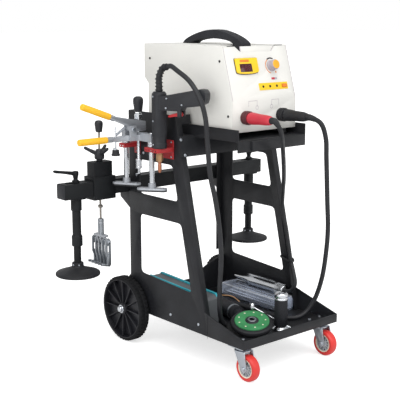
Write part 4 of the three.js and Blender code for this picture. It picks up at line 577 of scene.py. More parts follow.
SPINDLE_STEEL = BareMetal("spindle_steel", "zinc", "b0aaa2", "948e86", 0.3, 0.2)
YELLOW = Finish("grip_yellow", "yellow", "f6bf27", "efb41f", 0.4)
PANEL_YELLOW = Finish("panel_yellow", "amber", "f9d21f", "f3c81b", 0.35, 0.08)
AMBER = Finish("amber_cap", "amber", "fbb42c", "f3a61f", 0.35, 0.08)
ORANGE = Finish("orange_print", "amber", "e8842a", "dd7a24", 0.45, 0.08)
# Grey of the dial; also the grey rim of painted shade round the handle flap.
GREY = Finish("dial_grey", "black_plastic", "b9b1ba", "aca4ae", 0.45)
WINDOW = Finish("window_red", "red_plastic", "4a1220", "3c0e19", 0.08, 0.06, grain=0.02)
SEGMENT = Finish("segment_red", "red_plastic", "6e1a28", "651726", 0.3, 0.05)
RED = Finish("plug_red_plastic", "red_plastic", "cb3343", "bd2c3b", 0.36)
MAROON = Finish("plug_collar_maroon", "red_plastic", "5a2229", "4c1c22", 0.45, 0.12)
TRIGGER_RED = Finish("trigger_red", "red_plastic", "c5262c", "b52126", 0.36)
BRACKET_RED = Finish("bracket_red", "red_paint", "b3282d", "a22327", 0.38, 0.12, wear=0.3, wear_colour="8d5a58")
TREAD_RED = Finish("tread_red", "red_tread", "dd3833", "d0322d", 0.34, grain=0.06)
CORE_GREY = Finish("castor_core_grey", "red_tread", "c3c6ca", "b4b7bc", 0.4)
CREAM = Finish("rim_cream", "red_tread", "efe4d0", "e6dac4", 0.4, 0.08)
COPPER = BareMetal("copper_tip", "copper", "c07f62", "a56a50", 0.3, 0.2, metallic=0.7)
BRASS = BareMetal("brass_collar", "copper", "c9a27c", "ad8762", 0.28, 0.2, metallic=0.7)
GREEN = Finish("abrasive_green", "green", "3c8f58", "2f7c49", 0.7, 0.15, grain=0.7, grain_scale=500.0, patch_scale=45.0)
TEAL = Finish("box_teal", "teal", "2fa7b6", "2697a8", 0.4)
BOX_GREY = Finish("box_grey", "teal", "5d6064", "525558", 0.45, dust=0.1)
TUBE_CLEAR = ClearPlastic("tube_clear", "clear", "dde4f2", "cfd8ea", 0.12, 0.08, grain=0.04)
# Pale white of the tube case's ends; also the painted highlights along its top edges.
PALE_END_AND_HIGHLIGHT = Finish("tube_end_pale", "clear", "e9edf4", "dde2ec", 0.3)
BOARD = Finish("board_green", "board", "1f6a40", "185634", 0.35)
CORE = Finish("core_iron", "core", "6a645c", "57524b", 0.5, 0.15, metallic=0.4)


# Parts of a shape, as loose solids in millimetres


def softened(points: Sequence[Flat], radius: float, closed: bool, steps: int = 3) -> list[Flat]:
    """Rounds the corners of a line.

    Args:
        points: the line's corners.
        radius: how far before and after a corner its curve starts and ends.
        closed: whether the last corner is joined to the first.
        steps: the points that the curve of a corner gets, less one.

    Returns:
        The rounded line.
    """
    line = [Vector(p) for p in points]
    count = len(line)
    rounded: list[Flat] = []
    for i, corner in enumerate(line):
        if not closed and i in (0, count - 1):
            rounded.append(tuple(corner))
            continue
        back, ahead = line[i - 1] - corner, line[(i + 1) % count] - corner
        if back.length < 1e-6 or ahead.length < 1e-6 or radius <= 0 or back.angle(ahead) > math.radians(172):
            rounded.append(tuple(corner))
            continue
        start = corner + back.normalized() * min(radius, back.length * 0.45)
        end = corner + ahead.normalized() * min(radius, ahead.length * 0.45)
        for k in range(steps + 1):
            t = k / steps
            rounded.append(tuple(start * (1 - t) ** 2 + corner * (2 * t * (1 - t)) + end * t**2))
    return rounded


def section(inner: float, outer: float, low: float, high: float) -> list[Flat]:
    """Gives the straight profile between two radii and two heights."""
    return [(inner, low), (outer, low), (outer, high), (inner, high)]


def mirrored(half: Sequence[Flat]) -> list[Flat]:
    """Completes a profile that is the same below and above zero."""
    return [*half, *((radius, -height) for radius, height in reversed(half))]


def lathe(profile: Sequence[Flat], sides: int = 48, soft: float = 0.5) -> Solid:
    """Turns a profile about the z axis. One that starts away from the axis closes on itself, as a ring.

    Args:
        profile: the (radius, height) corners.
        sides: the faces round the axis.
        soft: how much its corners are rounded.

    Returns:
        The closed solid.
    """
    part = bmesh.new()
    ring = profile[0][0] > 0
    angles = [math.tau * i / sides for i in range(sides)]
    loops = []
    for radius, height in softened(profile, soft, ring):
        if radius < 1e-6:
            loops.append([part.verts.new((0, 0, height))])
        else:
            loops.append([part.verts.new((radius * math.cos(a), radius * math.sin(a), height)) for a in angles])
    pairs = list(zip(loops, loops[1:]))
    if ring:
        pairs.append((loops[-1], loops[0]))
    for low, high in pairs:
        for i in range(sides):
            j = (i + 1) % sides
            corners = (low[i % len(low)], low[j % len(low)], high[j % len(high)], high[i % len(high)])
            corners = tuple(dict.fromkeys(corners))
            if len(corners) > 2:
                part.faces.new(corners)
    bmesh.ops.recalc_face_normals(part, faces=part.faces)
    return part


def bevelled(part: Solid, soft: float, segments: int = 2) -> Solid:
    """Rounds the sharp edges of a solid."""
    if soft > 0:
        edges = [e for e in part.edges if e.calc_face_angle(0.0) > SHARP]
        bmesh.ops.bevel(
            part, geom=edges, offset=soft, segments=segments, profile=0.5, affect="EDGES", clamp_overlap=True
        )
    bmesh.ops.recalc_face_normals(part, faces=part.faces)
    return part


def prism(outline: Sequence[Flat], low: float, high: float, soft: float = 0.5, corner: float = 0.0) -> Solid:
    """Fills an outline from one height to another.

    Args:
        outline: its corners.
        low: the lower height.
        high: the upper height.
        soft: how much the edges are rounded.
        corner: how much the outline's own corners are rounded first.

    Returns:
        The closed solid.
    """
    part = bmesh.new()
    line = softened(outline, corner, True, 5)
    face = part.faces.new([part.verts.new((u, v, low)) for u, v in line])
    lifted = bmesh.ops.extrude_face_region(part, geom=[face])["geom"]
    top = [v for v in lifted if isinstance(v, bmesh.types.BMVert)]
    bmesh.ops.translate(part, vec=(0, 0, high - low), verts=top)
    bmesh.ops.recalc_face_normals(part, faces=part.faces)
    return bevelled(part, soft)


def brick(low: Spot, high: Spot, soft: float = 0.5) -> Solid:
    """Makes a box with rounded edges from its two corners."""
    part = bmesh.new()
    size = [abs(b - a) for a, b in zip(low, high)]
    middle = Vector([(a + b) / 2 for a, b in zip(low, high)])
    bmesh.ops.create_cube(part, size=1.0, matrix=Matrix.Translation(middle) @ Matrix.Diagonal((*size, 1)))
    return bevelled(part, min(soft, min(size) * 0.3))


def tube(points: Sequence[Vector], radii: Sequence[float], sides: int = 14) -> Solid:
    """Runs a round section along a path.

    Args:
        points: the path.
        radii: the section's radius at each point.
        sides: the section's faces.

    Returns:
        The closed solid.
    """
    part = bmesh.new()
    last = len(points) - 1
    heading = (points[1] - points[0]).normalized()
    across = heading.orthogonal().normalized()
    loops = []
    for i, point in enumerate(points):
        ahead = (points[min(i + 1, last)] - points[max(i - 1, 0)]).normalized()
        across = heading.rotation_difference(ahead) @ across
        heading = ahead
        other = heading.cross(across)
        loops.append(
            [
                part.verts.new(point + (across * math.cos(a) + other * math.sin(a)) * radii[i])
                for a in (math.tau * k / sides for k in range(sides))
            ]
        )
    for low, high in zip(loops, loops[1:]):
        for k in range(sides):
            j = (k + 1) % sides
            part.faces.new((low[k], low[j], high[j], high[k]))
    part.faces.new(list(reversed(loops[0])))
    part.faces.new(loops[-1])
    bmesh.ops.recalc_face_normals(part, faces=part.faces)
    return part


def smooth_path(points: Sequence[Spot], step: float) -> list[Vector]:
    """Runs one smooth curve through points.

    Args:
        points: where the curve passes.
        step: roughly how far apart the result's points lie.

    Returns:
        Points along the curve, both ends among them.
    """
    line = [Vector(p) for p in points]
    line = [2 * line[0] - line[1], *line, 2 * line[-1] - line[-2]]
    path: list[Vector] = []
    for a, b, c, d in zip(line, line[1:], line[2:], line[3:]):
        t1 = math.sqrt((b - a).length)
        t2 = t1 + math.sqrt((c - b).length)
        t3 = t2 + math.sqrt((d - c).length)
        pieces = max(1, round((c - b).length / step))
        for k in range(pieces):
            t = t1 + (t2 - t1) * k / pieces
            ab = a * ((t1 - t) / t1) + b * (t / t1)
            bc = b * ((t2 - t) / (t2 - t1)) + c * ((t - t1) / (t2 - t1))
            cd = c * ((t3 - t) / (t3 - t2)) + d * ((t - t2) / (t3 - t2))
            near = ab * ((t2 - t) / t2) + bc * (t / t2)
            far = bc * ((t3 - t) / (t3 - t1)) + cd * ((t - t1) / (t3 - t1))
            path.append(near * ((t2 - t) / (t2 - t1)) + far * ((t - t1) / (t2 - t1)))
    return [*path, line[-2]]


def arc(centre: Flat, radius: float, start: float, end: float, steps: int = 16) -> list[Flat]:
    """Gives points on a circle from one angle to another, in degrees."""
    angles = (math.radians(start + (end - start) * k / steps) for k in range(steps + 1))
    return [(centre[0] + radius * math.cos(a), centre[1] + radius * math.sin(a)) for a in angles]


def bend(a: Flat, b: Flat, c: Flat, d: Flat, steps: int = 14) -> list[Flat]:
    """Gives points on a cubic curve from its four corners, without its start."""
    points = []
    for t in (k / steps for k in range(1, steps + 1)):
        weights = ((1 - t) ** 3, 3 * t * (1 - t) ** 2, 3 * t**2 * (1 - t), t**3)
        points.append(tuple(sum((Vector(p) * w for p, w in zip((a, b, c, d), weights)), Vector((0, 0)))))
    return points


def aimed(start: Sequence[float], end: Sequence[float]) -> Matrix:
    """Gives the frame at one point whose z axis points at another."""
    turn = (Vector(end) - Vector(start)).to_track_quat("Z", "Y")
    return Matrix.Translation(start) @ turn.to_matrix().to_4x4()


def both_sides(x: float, spots: Iterable[Flat]) -> list[tuple[Spot, Spot]]:
    """Gives where screws sit on two upright side faces, and which way each faces."""
    return [((s.value * x, y, z), (s.value, 0, 0)) for s in Side for y, z in spots]


class Shape:
    """A piece under construction, in the drawing's frame or in one that is placed in it."""

    def __init__(self, placing: Matrix | None = None) -> None:
        """Starts an empty piece.

        Args:
            placing: where the piece's own frame lies in the drawing.
        """
        self.solid = bmesh.new()
        self.placing = placing or Matrix.Identity(4)

    def add_mesh(self, mesh: Mesh, placing: Matrix | None = None) -> "Shape":
        """Takes in a mesh, which is used up."""
        mesh.transform(placing or Matrix.Identity(4))
        self.solid.from_mesh(mesh)
        bpy.data.meshes.remove(mesh)
        return self

    def add(self, part: Solid, placing: Matrix | None = None) -> "Shape":
        """Takes in a solid, which is used up."""
        return self.add_mesh(as_mesh(part), placing)

    def turned(self, profile: Sequence[Flat], at: Spot = (0, 0, 0), axis: Axis = Axis.Z, **options: Any) -> "Shape":
        """Adds a turned solid whose axis starts at a point."""
        return self.add(lathe(profile, **options), axis.at(at))

    def filled(self, outline: Sequence[Flat], low: float, high: float, axis: Axis = Axis.Z, **options: Any) -> "Shape":
        """Adds a filled outline from one height to another along an axis."""
        return self.add(prism(outline, low, high, **options), axis.matrix)

    def brick(self, low: Spot, high: Spot, soft: float = 0.5) -> "Shape":
        """Adds a box with rounded edges."""
        return self.add(brick(low, high, soft))

    def bar(self, start: Spot, end: Spot, radius: float, **options: Any) -> "Shape":
        """Adds a round bar between two points."""
        profile = section(0, radius, 0, (Vector(end) - Vector(start)).length)
        return self.add(lathe(profile, **options), aimed(start, end))

    def ring_of(self, part: Solid, count: int, placing: Matrix, finish: Finish, turn: float = 0.0) -> "Shape":
        """Adds copies of a solid round the z axis of a frame."""
        return self.add_mesh(RING.run(as_mesh(part), finish.material(), Count=count, Turn=turn), placing)

    def row_of(self, part: Solid, count: int, step: Spot, finish: Finish) -> "Shape":
        """Adds copies of a solid along a row."""
        return self.add_mesh(ROWS.run(as_mesh(part), finish.material(), Count=count, Step=step))

    def wound(
        self, turns: float, radius: float, height: float, wire: float, placing: Matrix, finish: Finish
    ) -> "Shape":
        """Adds a coil of round wire that climbs the z axis of a frame."""
        coil = COIL.run(
            bpy.data.meshes.new("start"), finish.material(),
            Turns=float(turns), Radius=radius, Height=height, Wire=wire, Steps=20,
        )
        return self.add_mesh(coil, placing)

    def thread(self, turns: int, pitch: float, radius: float, wire: float, at: Spot, finish: Finish) -> "Shape":
        """Adds an upright screw thread that starts at a point."""
        return self.wound(turns, radius, turns * pitch, wire, Matrix.Translation(at), finish)

    def piece(self, name: str, finish: Finish, body: str = "cart", node: str = "", edge: float = 0.0) -> Thing:
        """Finishes the piece.

        Args:
            name: the piece's name.
            finish: its surface.
            body: the body that it rides on.
            node: the solid that it stands for, if any.
            edge: how far its sharp edges are rounded, where its parts don't do so.

        Returns:
            The finished object.
        """
        mesh = as_mesh(self.solid, name)
        mesh.transform(ROW @ self.placing)
        mesh.materials.clear()
        mesh.materials.append(finish.material())
        for polygon in mesh.polygons:
            polygon.material_index = 0
        thing = placed(name, mesh)
        if edge > 0:
            self.round_edges(thing, edge)
        thing.data.polygons.foreach_set("use_smooth", [True] * len(thing.data.polygons))
        thing.data.set_sharp_from_angle(angle=math.radians(38))
        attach(thing, body)
        if node:
            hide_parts(node)
        LOG.info("%s: %d faces on %s", name, len(thing.data.polygons), body)
        return thing

    @staticmethod
    def round_edges(thing: Thing, edge: float) -> None:
        """Rounds an object's sharp edges for good.

        Args:
            thing: the object.
            edge: how far, in millimetres.
        """
        bevel = thing.modifiers.new("edges", "BEVEL")
        bevel.width = edge * MM
        bevel.segments = 2
        bevel.limit_method = "ANGLE"
        bevel.angle_limit = SHARP
        bevel.miter_outer = "MITER_ARC"
        rounded = evaluated_mesh(thing)
        thing.modifiers.clear()
        plain = thing.data
        thing.data = rounded
        bpy.data.meshes.remove(plain)
        thing.data.name = thing.name


def as_mesh(part: Solid, name: str = "part") -> Mesh:
    """Turns a solid into a mesh and frees it."""
    mesh = bpy.data.meshes.new(name)
    part.to_mesh(mesh)
    part.free()
    return mesh


def copied(node: str) -> Shape:
    """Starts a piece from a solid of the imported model, with its loose triangles joined into clean faces.

    Args:
        node: the solid's name.

    Returns:
        The piece, still in millimetres.
    """
    shape = Shape()
    shape.solid.from_mesh(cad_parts[node].data)
    bmesh.ops.transform(shape.solid, matrix=ROW.inverted(), verts=shape.solid.verts)
    bmesh.ops.remove_doubles(shape.solid, verts=shape.solid.verts, dist=0.02)
    bmesh.ops.dissolve_limit(
        shape.solid, angle_limit=math.radians(1.0), verts=shape.solid.verts, edges=shape.solid.edges
    )
    return shape


def cleaned(node: str, name: str, finish: Finish, edge: float, body: str = "cart") -> None:
    """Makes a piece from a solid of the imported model, with its sharp edges rounded."""
    copied(node).piece(name, finish, body, node, edge)


def screw_head(radius: float, height: float) -> Solid:
    """Makes a round head with a recess for the key."""
    key = radius * 0.42
    profile = [
        (0, height * 0.3), (key, height * 0.3), (key, height * 0.95), (radius * 0.75, height),
        (radius, height * 0.5), (radius, -0.3), (0, -0.3),
    ]
    return lathe(profile, sides=20, soft=0.25)


def hex_head(radius: float, height: float) -> Solid:
    """Makes a six-sided head or nut with a domed top."""
    profile = [(0, height), (radius * 0.8, height), (radius, height * 0.75), (radius, -0.3), (0, -0.3)]
    return lathe(profile, sides=6, soft=0.0)


def fixings(
    name: str, places: Sequence[tuple[Spot, Spot]], head: Solid, finish: Finish,
    body: str = "cart", placing: Matrix | None = None,
) -> Thing:
    """Sets one kind of screw or nut at several places.

    Args:
        name: the piece's name.
        places: for each, where it sits and which way it faces.
        head: its shape, standing on the origin.
        finish: its surface.
        body: the body that they ride on.
        placing: the frame that the places are in.

    Returns:
        The finished object.
    """
    head_object = placed("head", as_mesh(head, "head"))
    spots = bpy.data.meshes.new("spots")
    spots.from_pydata([spot for spot, _ in places], [], [])
    facing = spots.attributes.new("facing", "FLOAT_VECTOR", "POINT")
    for i, (_, way) in enumerate(places):
        facing.data[i].vector = way
    mesh = HEADS.run(spots, finish.material(), Head=head_object)
    bpy.data.objects.remove(head_object)
    shape = Shape(placing)
    return shape.add_mesh(mesh).piece(name, finish, body)


def slimmed(shape: Shape, root: Vector, along: Vector, across: float, share: float) -> Shape:
    """Thins and shortens everything beyond a point, as the core of a hand grip.

    Args:
        shape: the piece.
        root: where the change begins, on the grip's axis.
        along: the grip's direction, of length 1.
        across: what is left of its thickness, as a share.
        share: what is left of its length, as a share.

    Returns:
        The same piece.
    """
    for corner in shape.solid.verts:
        reach = (corner.co - root).dot(along)
        if reach > 0:
            off = corner.co - root - along * reach
            corner.co = root + along * reach * share + off * across
    return shape


def dress(node: str, finish: Finish) -> None:
    """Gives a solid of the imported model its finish."""
    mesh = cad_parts[node].data
    mesh.materials.clear()
    mesh.materials.append(finish.material())


# The camera's view and the light


def seen_by_camera(tree: Nodes) -> Socket:
    """Finds the rays that come from the camera, also those that went through clear plastic."""
    ray = tree.nodes.new("ShaderNodeLightPath")
    return maths(tree, "MAXIMUM", ray.outputs["Is Camera Ray"], ray.outputs["Is Transmission Ray"])


@dataclass
class Studio:
    """A pale floor, soft light and the camera."""

    azimuth: float = 40.57
    elevation: float = 11.26
    distance: float = 2870.7
    target: Spot = (0.8, -106.8, 426.8)
    lens: float = 84.31
    floor_half: float = 40.0
    sun_strength: float = 1.5
    sky_strength: float = 0.62
    floor_glow: float = 0.62

    def build(self) -> None:
        """Sets up the camera, the lamps, the sky and the floor."""
        scene = bpy.context.scene
        scene.view_settings.view_transform = "Standard"
        self.place_camera(scene)
        self.place_lamps()
        self.paint_sky(scene)
        self.lay_floor()

    def place_camera(self, scene: bpy.types.Scene) -> None:
        """Puts the camera where it looks at the trolley from its front left."""
        camera = placed("camera", bpy.data.cameras.new("camera"))
        camera.data.lens = self.lens
        camera.data.clip_end = 100.0
        target = ROW @ Vector(self.target)
        across, up = math.radians(self.azimuth), math.radians(self.elevation)
        back = Vector((-math.sin(across) * math.cos(up), -math.cos(across) * math.cos(up), math.sin(up)))
        camera.location = target + back * self.distance * MM
        camera.rotation_euler = (-back).to_track_quat("-Z", "Y").to_euler()
        scene.camera = camera

    def place_lamps(self) -> None:
        """Hangs one broad sun and two soft panels."""
        sun = bpy.data.lights.new("sun", "SUN")
        sun.energy = self.sun_strength
        sun.angle = math.radians(50)
        key = placed("sun", sun)
        key.rotation_euler = Vector((0.15, 0.55, -1.0)).to_track_quat("-Z", "Y").to_euler()
        for name, spot, size, energy in (
            ("left_panel", (-1.8, -0.6, 1.3), 1.4, 14.0),
            ("front_panel_light", (0.9, -2.4, 1.2), 1.2, 10.0),
        ):
            panel = bpy.data.lights.new(name, "AREA")
            panel.size = size
            panel.energy = energy
            lamp = placed(name, panel)
            lamp.location = spot
            lamp.rotation_euler = (Vector((0, 0, 0.4)) - Vector(spot)).to_track_quat("-Z", "Y").to_euler()

    def paint_sky(self, scene: bpy.types.Scene) -> None:
        """Lights the room evenly and shows it white."""
        world = bpy.data.worlds.new("room")
        scene.world = world
        world.use_nodes = True
        tree = world.node_tree
        tree.nodes.clear()
        level = put_node(tree, "ShaderNodeMapRange", {0: seen_by_camera(tree), 3: self.sky_strength, 4: 1.0})
        sky = put_node(tree, "ShaderNodeBackground", {0: (1, 1, 1, 1), "Strength": level.outputs[0]})
        end = tree.nodes.new("ShaderNodeOutputWorld")
        tree.links.new(sky.outputs[0], end.inputs["Surface"])

    def lay_floor(self) -> None:
        """Lays a wide pale floor that keeps the trolley's soft shadow."""
        half = self.floor_half
        mesh = bpy.data.meshes.new("floor")
        mesh.from_pydata([(-half, -half, 0), (half, -half, 0), (half, half, 0), (-half, half, 0)], [], [(0, 1, 2, 3)])
        floor = placed("floor", mesh)
        material = bpy.data.materials.new("pale_floor")
        material.use_nodes = True
        tree = material.node_tree
        shader = tree.nodes["Principled BSDF"]
        shader.inputs["Base Color"].default_value = (0.8, 0.8, 0.8, 1)
        shader.inputs["Roughness"].default_value = 0.9
        shader.inputs["Specular IOR Level"].default_value = 0.1
        glow = put_node(tree, "ShaderNodeEmission", {"Color": (1, 1, 1, 1), "Strength": self.floor_glow})
        both = put_node(tree, "ShaderNodeAddShader", {0: shader.outputs[0], 1: glow.outputs[0]})
        feeds = {0: seen_by_camera(tree), 1: shader.outputs[0], 2: both.outputs[0]}
        mix = put_node(tree, "ShaderNodeMixShader", feeds)
        tree.links.new(mix.outputs[0], tree.nodes["Material Output"].inputs["Surface"])
        mesh.materials.append(material)


# Cables

GUN_ROUTE: list[Spot] = [
    (0.062, -0.4866, 0.708), (0.062, -0.4986, 0.708), (0.084, -0.516, 0.694), (0.110, -0.514, 0.652),
    (0.127, -0.504, 0.587), (0.142, -0.498, 0.468), (0.157, -0.490, 0.380), (0.165, -0.478, 0.305),
    (0.168, -0.462, 0.225), (0.160, -0.444, 0.160), (0.138, -0.432, 0.122), (0.104, -0.424, 0.1086),
    (0.072, -0.396, 0.1086), (0.062, -0.340, 0.1086), (0.060, -0.250, 0.1086), (0.050, -0.175, 0.1086),
    (0.010, -0.148, 0.1086), (-0.042, -0.160, 0.1086), (-0.078, -0.210, 0.1086), (-0.084, -0.270, 0.1086),
    (-0.092, -0.322, 0.1086), (-0.118, -0.352, 0.114), (-0.142, -0.362, 0.150), (-0.154, -0.372, 0.229),
    (-0.160, -0.384, 0.321), (-0.170, -0.388, 0.408), (-0.182, -0.384, 0.493), (-0.190, -0.372, 0.560),
    (-0.195, -0.366, 0.650), (-0.199, -0.362, 0.715), (-0.204, -0.347, 0.762), (-0.212, -0.314, 0.808),
    (-0.220, -0.270, 0.836), (-0.222398, -0.243691, 0.847651), (-0.222985, -0.232292, 0.845066),
]

EARTH_ROUTE: list[Spot] = [
    (-0.075, -0.4866, 0.708), (-0.075, -0.4986, 0.708), (-0.066, -0.508, 0.690), (-0.040, -0.492, 0.664),
    (-0.010, -0.466, 0.636), (0.024, -0.436, 0.600), (0.068, -0.396, 0.556), (0.118, -0.348, 0.508),
    (0.154, -0.310, 0.462), (0.168, -0.295582, 0.410), (0.171, -0.309451, 0.350), (0.171, -0.321008, 0.300),
    (0.171, -0.332103, 0.252), (0.168, -0.348, 0.215), (0.161, -0.361, 0.186), (0.156, -0.353, 0.166),
    (0.155, -0.338, 0.1586), (0.155, -0.3263, 0.1586),
]

BOOT_ROUTE: list[Spot] = [
    (-228, -200.5, 776.3), (-228, -200.5, 796), (-228, -200.5, 816),
    (-224.004, -212.529, 840.584), (-223, -232, 845),
]


@dataclass
class Cables:
    """The gun's cable and the earth cable, with the plugs, sleeves and boot on them."""

    gun_radius: float = 6.8
    earth_radius: float = 6.2
    step: float = 4.0
    plug_start: float = 390.3
    collar: float = 19.0
    collar_length: float = 15.0
    collar_ribs: int = 30
    sleeve_length: float = 30.0
    boot_radius: float = 9.2
    boot_ribs: int = 9
    boot_taper: float = 0.2

    def build(self) -> None:
        """Makes both cables with what is on them."""
        gun = [p * METRE for p in smooth_path(GUN_ROUTE, self.step * MM)]
        earth = [p * METRE for p in smooth_path(EARTH_ROUTE, self.step * MM)]
        black = [*self.plug("black", RUBBER, RUBBER), self.sleeve("gun_cable_sleeve", gun, self.gun_radius)]
        red = [*self.plug("red", RED, MAROON), self.sleeve("earth_cable_sleeve", earth, self.earth_radius)]
        self.cable("gun_lead", "gun_cable", gun, self.gun_radius, [*black, self.boot()])
        self.cable("earth_lead", "earth_cable", earth, self.earth_radius, red)

    def plug(self, label: str, finish: Finish, collar_finish: Finish) -> list[Thing]:
        """Makes a bayonet plug: a ribbed collar and a waisted grip.

        Args:
            label: the plug's colour, as its node is named.
            finish: the grip's surface.
            collar_finish: the collar's surface.

        Returns:
            The plug's pieces.
        """
        at = (SOCKET_X[label], -self.plug_start, SOCKET_Z)
        placing = Axis.FRONT.at(at)
        core = self.collar - 0.9
        collar = Shape().turned(section(0, core, 0, self.collar_length), at, Axis.FRONT, soft=1.4)
        rib = brick((core - 1, -0.75, 1.6), (self.collar, 0.75, self.collar_length - 1.6), 0.3)
        collar.ring_of(rib, self.collar_ribs, placing, collar_finish)
        grip = Shape().turned(
            [(0, 14), (15.0, 14), (15.0, 17.5), (16.6, 19), (16.5, 30), (15.4, 42), (14.6, 52), (14.2, 66),
             (13.9, 78), (13.0, 87), (11.8, 92.6), (10.6, 95.4), (9.4, 96), (0, 96)],
            at, Axis.FRONT, soft=2.0, sides=64,
        )
        return [
            grip.piece(f"plug_{label}_grip", finish, node=f"plug_{label}"),
            collar.piece(f"plug_{label}_collar", collar_finish),
        ]

    def sleeve(self, name: str, path: Sequence[Vector], radius: float) -> Thing:
        """Makes the tapered rubber sleeve where a cable leaves its plug."""
        run, near = 0.0, [path[0]]
        for a, b in zip(path, path[1:]):
            run += (b - a).length
            if run > self.sleeve_length:
                break
            near.append(b)
        near[0] = near[0] + (near[0] - near[1]).normalized() * 2
        radii = [radius + 3.0 - 2.4 * k / (len(near) - 1) + 0.35 * (k % 2) for k in range(len(near))]
        return Shape().add(tube(near, radii, 24)).piece(name, RUBBER)

    def boot(self) -> Thing:
        """Makes the gun's ribbed boot: a tapered sleeve with rings along it."""
        path = smooth_path(BOOT_ROUTE, 2.0)
        last = len(path) - 1
        radii = [self.boot_radius * (1 - self.boot_taper * k / last) for k in range(last + 1)]
        shape = Shape().add(tube(path, radii, 28))
        rib = lathe(mirrored([(8.0, -1.9), (11.6, -1.5)]), sides=28, soft=1.1)
        bead = placed("bead", as_mesh(rib, "bead"))
        line = bpy.data.meshes.new("line")
        inner = path[2:-2]
        line.from_pydata(inner, [(k, k + 1) for k in range(len(inner) - 1)], [])
        ribs = BEADS.run(line, RUBBER.material(), Bead=bead, Count=self.boot_ribs, Taper=self.boot_taper)
        bpy.data.objects.remove(bead)
        return shape.add_mesh(ribs).piece("gun_boot_sleeve", RUBBER, node="gun_boot")

    def cable(self, name: str, node: str, path: list[Vector], radius: float, carried: list[Thing]) -> None:
        """Args:
            name: the piece's name.
            node: the solid that it stands for.
            path: the line that it follows.
            radius: half its thickness.
            carried: the pieces on it; not used.
        """
        lead = Shape().add(tube(path, [radius] * len(path), 16)).piece(name, CABLE, node=node)


# The trolley


@dataclass
class Trolley:
    """The bent sheets of the trolley and what holds them."""

    panel_x: float = 187.0
    edge_foot: Flat = (-359.0, 98.0)
    edge_lean: float = 141 / 610
    apron_lap: float = 3.3
    apron_facing: Spot = (0, -1, 0.23)

    def build(self) -> None:
        """Makes the sheets, their screws and the cable strap."""
        for node in ("side_panel_left", "side_panel_right", "base_tray", "top_tray"):
            cleaned(node, f"{node}_sheet", BLACK_PAINT, 0.6)
        for node in ("tool_bracket_rear", "tool_bracket_front"):
            cleaned(node, f"{node}_plate", BRACKET_RED, 0.5)
        cleaned("cable_tie", "leg_strap", RUBBER, 0.4)
        self.screws()
        self.axle()
        seams = Shape()
        for side in Side:
            low, high = sorted((side.value * self.panel_x, side.value * (self.panel_x + 0.25)))
            seams.brick((low, -358.7, 92.0), (high, -357.5, 164.0), 0.04)
        seams.piece("panel_seams", DARK_STEEL_AND_SHADE)

    def screws(self) -> None:
        """Sets the screws that hold the sheets together."""
        places = both_sides(self.panel_x, [(-194.1, 122.2), (-319.6, 124.3), (-71.5, 587.1), (-35.8, 517.7)])
        for x, z in ((-181.0, 641.2), (-173.8, 598.2), (181.0, 641.2), (173.8, 598.2)):
            front = self.edge_foot[0] + (z - self.edge_foot[1]) * self.edge_lean - self.apron_lap
            places.append(((x, front, z), self.apron_facing))
        fixings("sheet_screws", places, screw_head(4.4, 2.2), ZINC)
        uprights = [((-190.0, y, z), (-1, 0, 0)) for y in (-45.0, -162.0, -205.0) for z in (590.0, 632.0)]
        fixings("bracket_screws", uprights, screw_head(3.0, 1.6), ZINC)
        bolts = [
            ((s.value * 156 + dx, -470 + dy, 101.0), (0, 0, 1))
            for s in Side for dx in (-22, 22) for dy in (-22, 22)
        ]
        fixings("castor_nuts", bolts, hex_head(5.0, 3.6), ZINC)

    def axle(self) -> None:
        """Makes the axle with its washers, spacers and domed caps."""
        shape = Shape().bar((-227, 0, AXLE_HEIGHT), (227, 0, AXLE_HEIGHT), 8.0)
        washer, spacer = section(8.0, 13.0, 0, 3.0), section(7.5, 13.0, 0, 4.4)
        cap = [(0, 0), (9.5, 0), (9.5, 4.0), (8.2, 7.0), (4.5, 8.8), (0, 9.0)]
        for side in Side:
            turn = Matrix.Diagonal((side.value, side.value, 1, 1))
            for profile, x in ((washer, 224.0), (spacer, 187.4), (cap, 227.0)):
                placing = Matrix.Translation((side.value * x, 0, AXLE_HEIGHT))
                shape.add(lathe(profile, soft=0.7), placing @ Matrix.Rotation(side.value * math.pi / 2, 4, "Y") @ turn)
        shape.piece("axle_rod", CHROME, node="rear_axle")


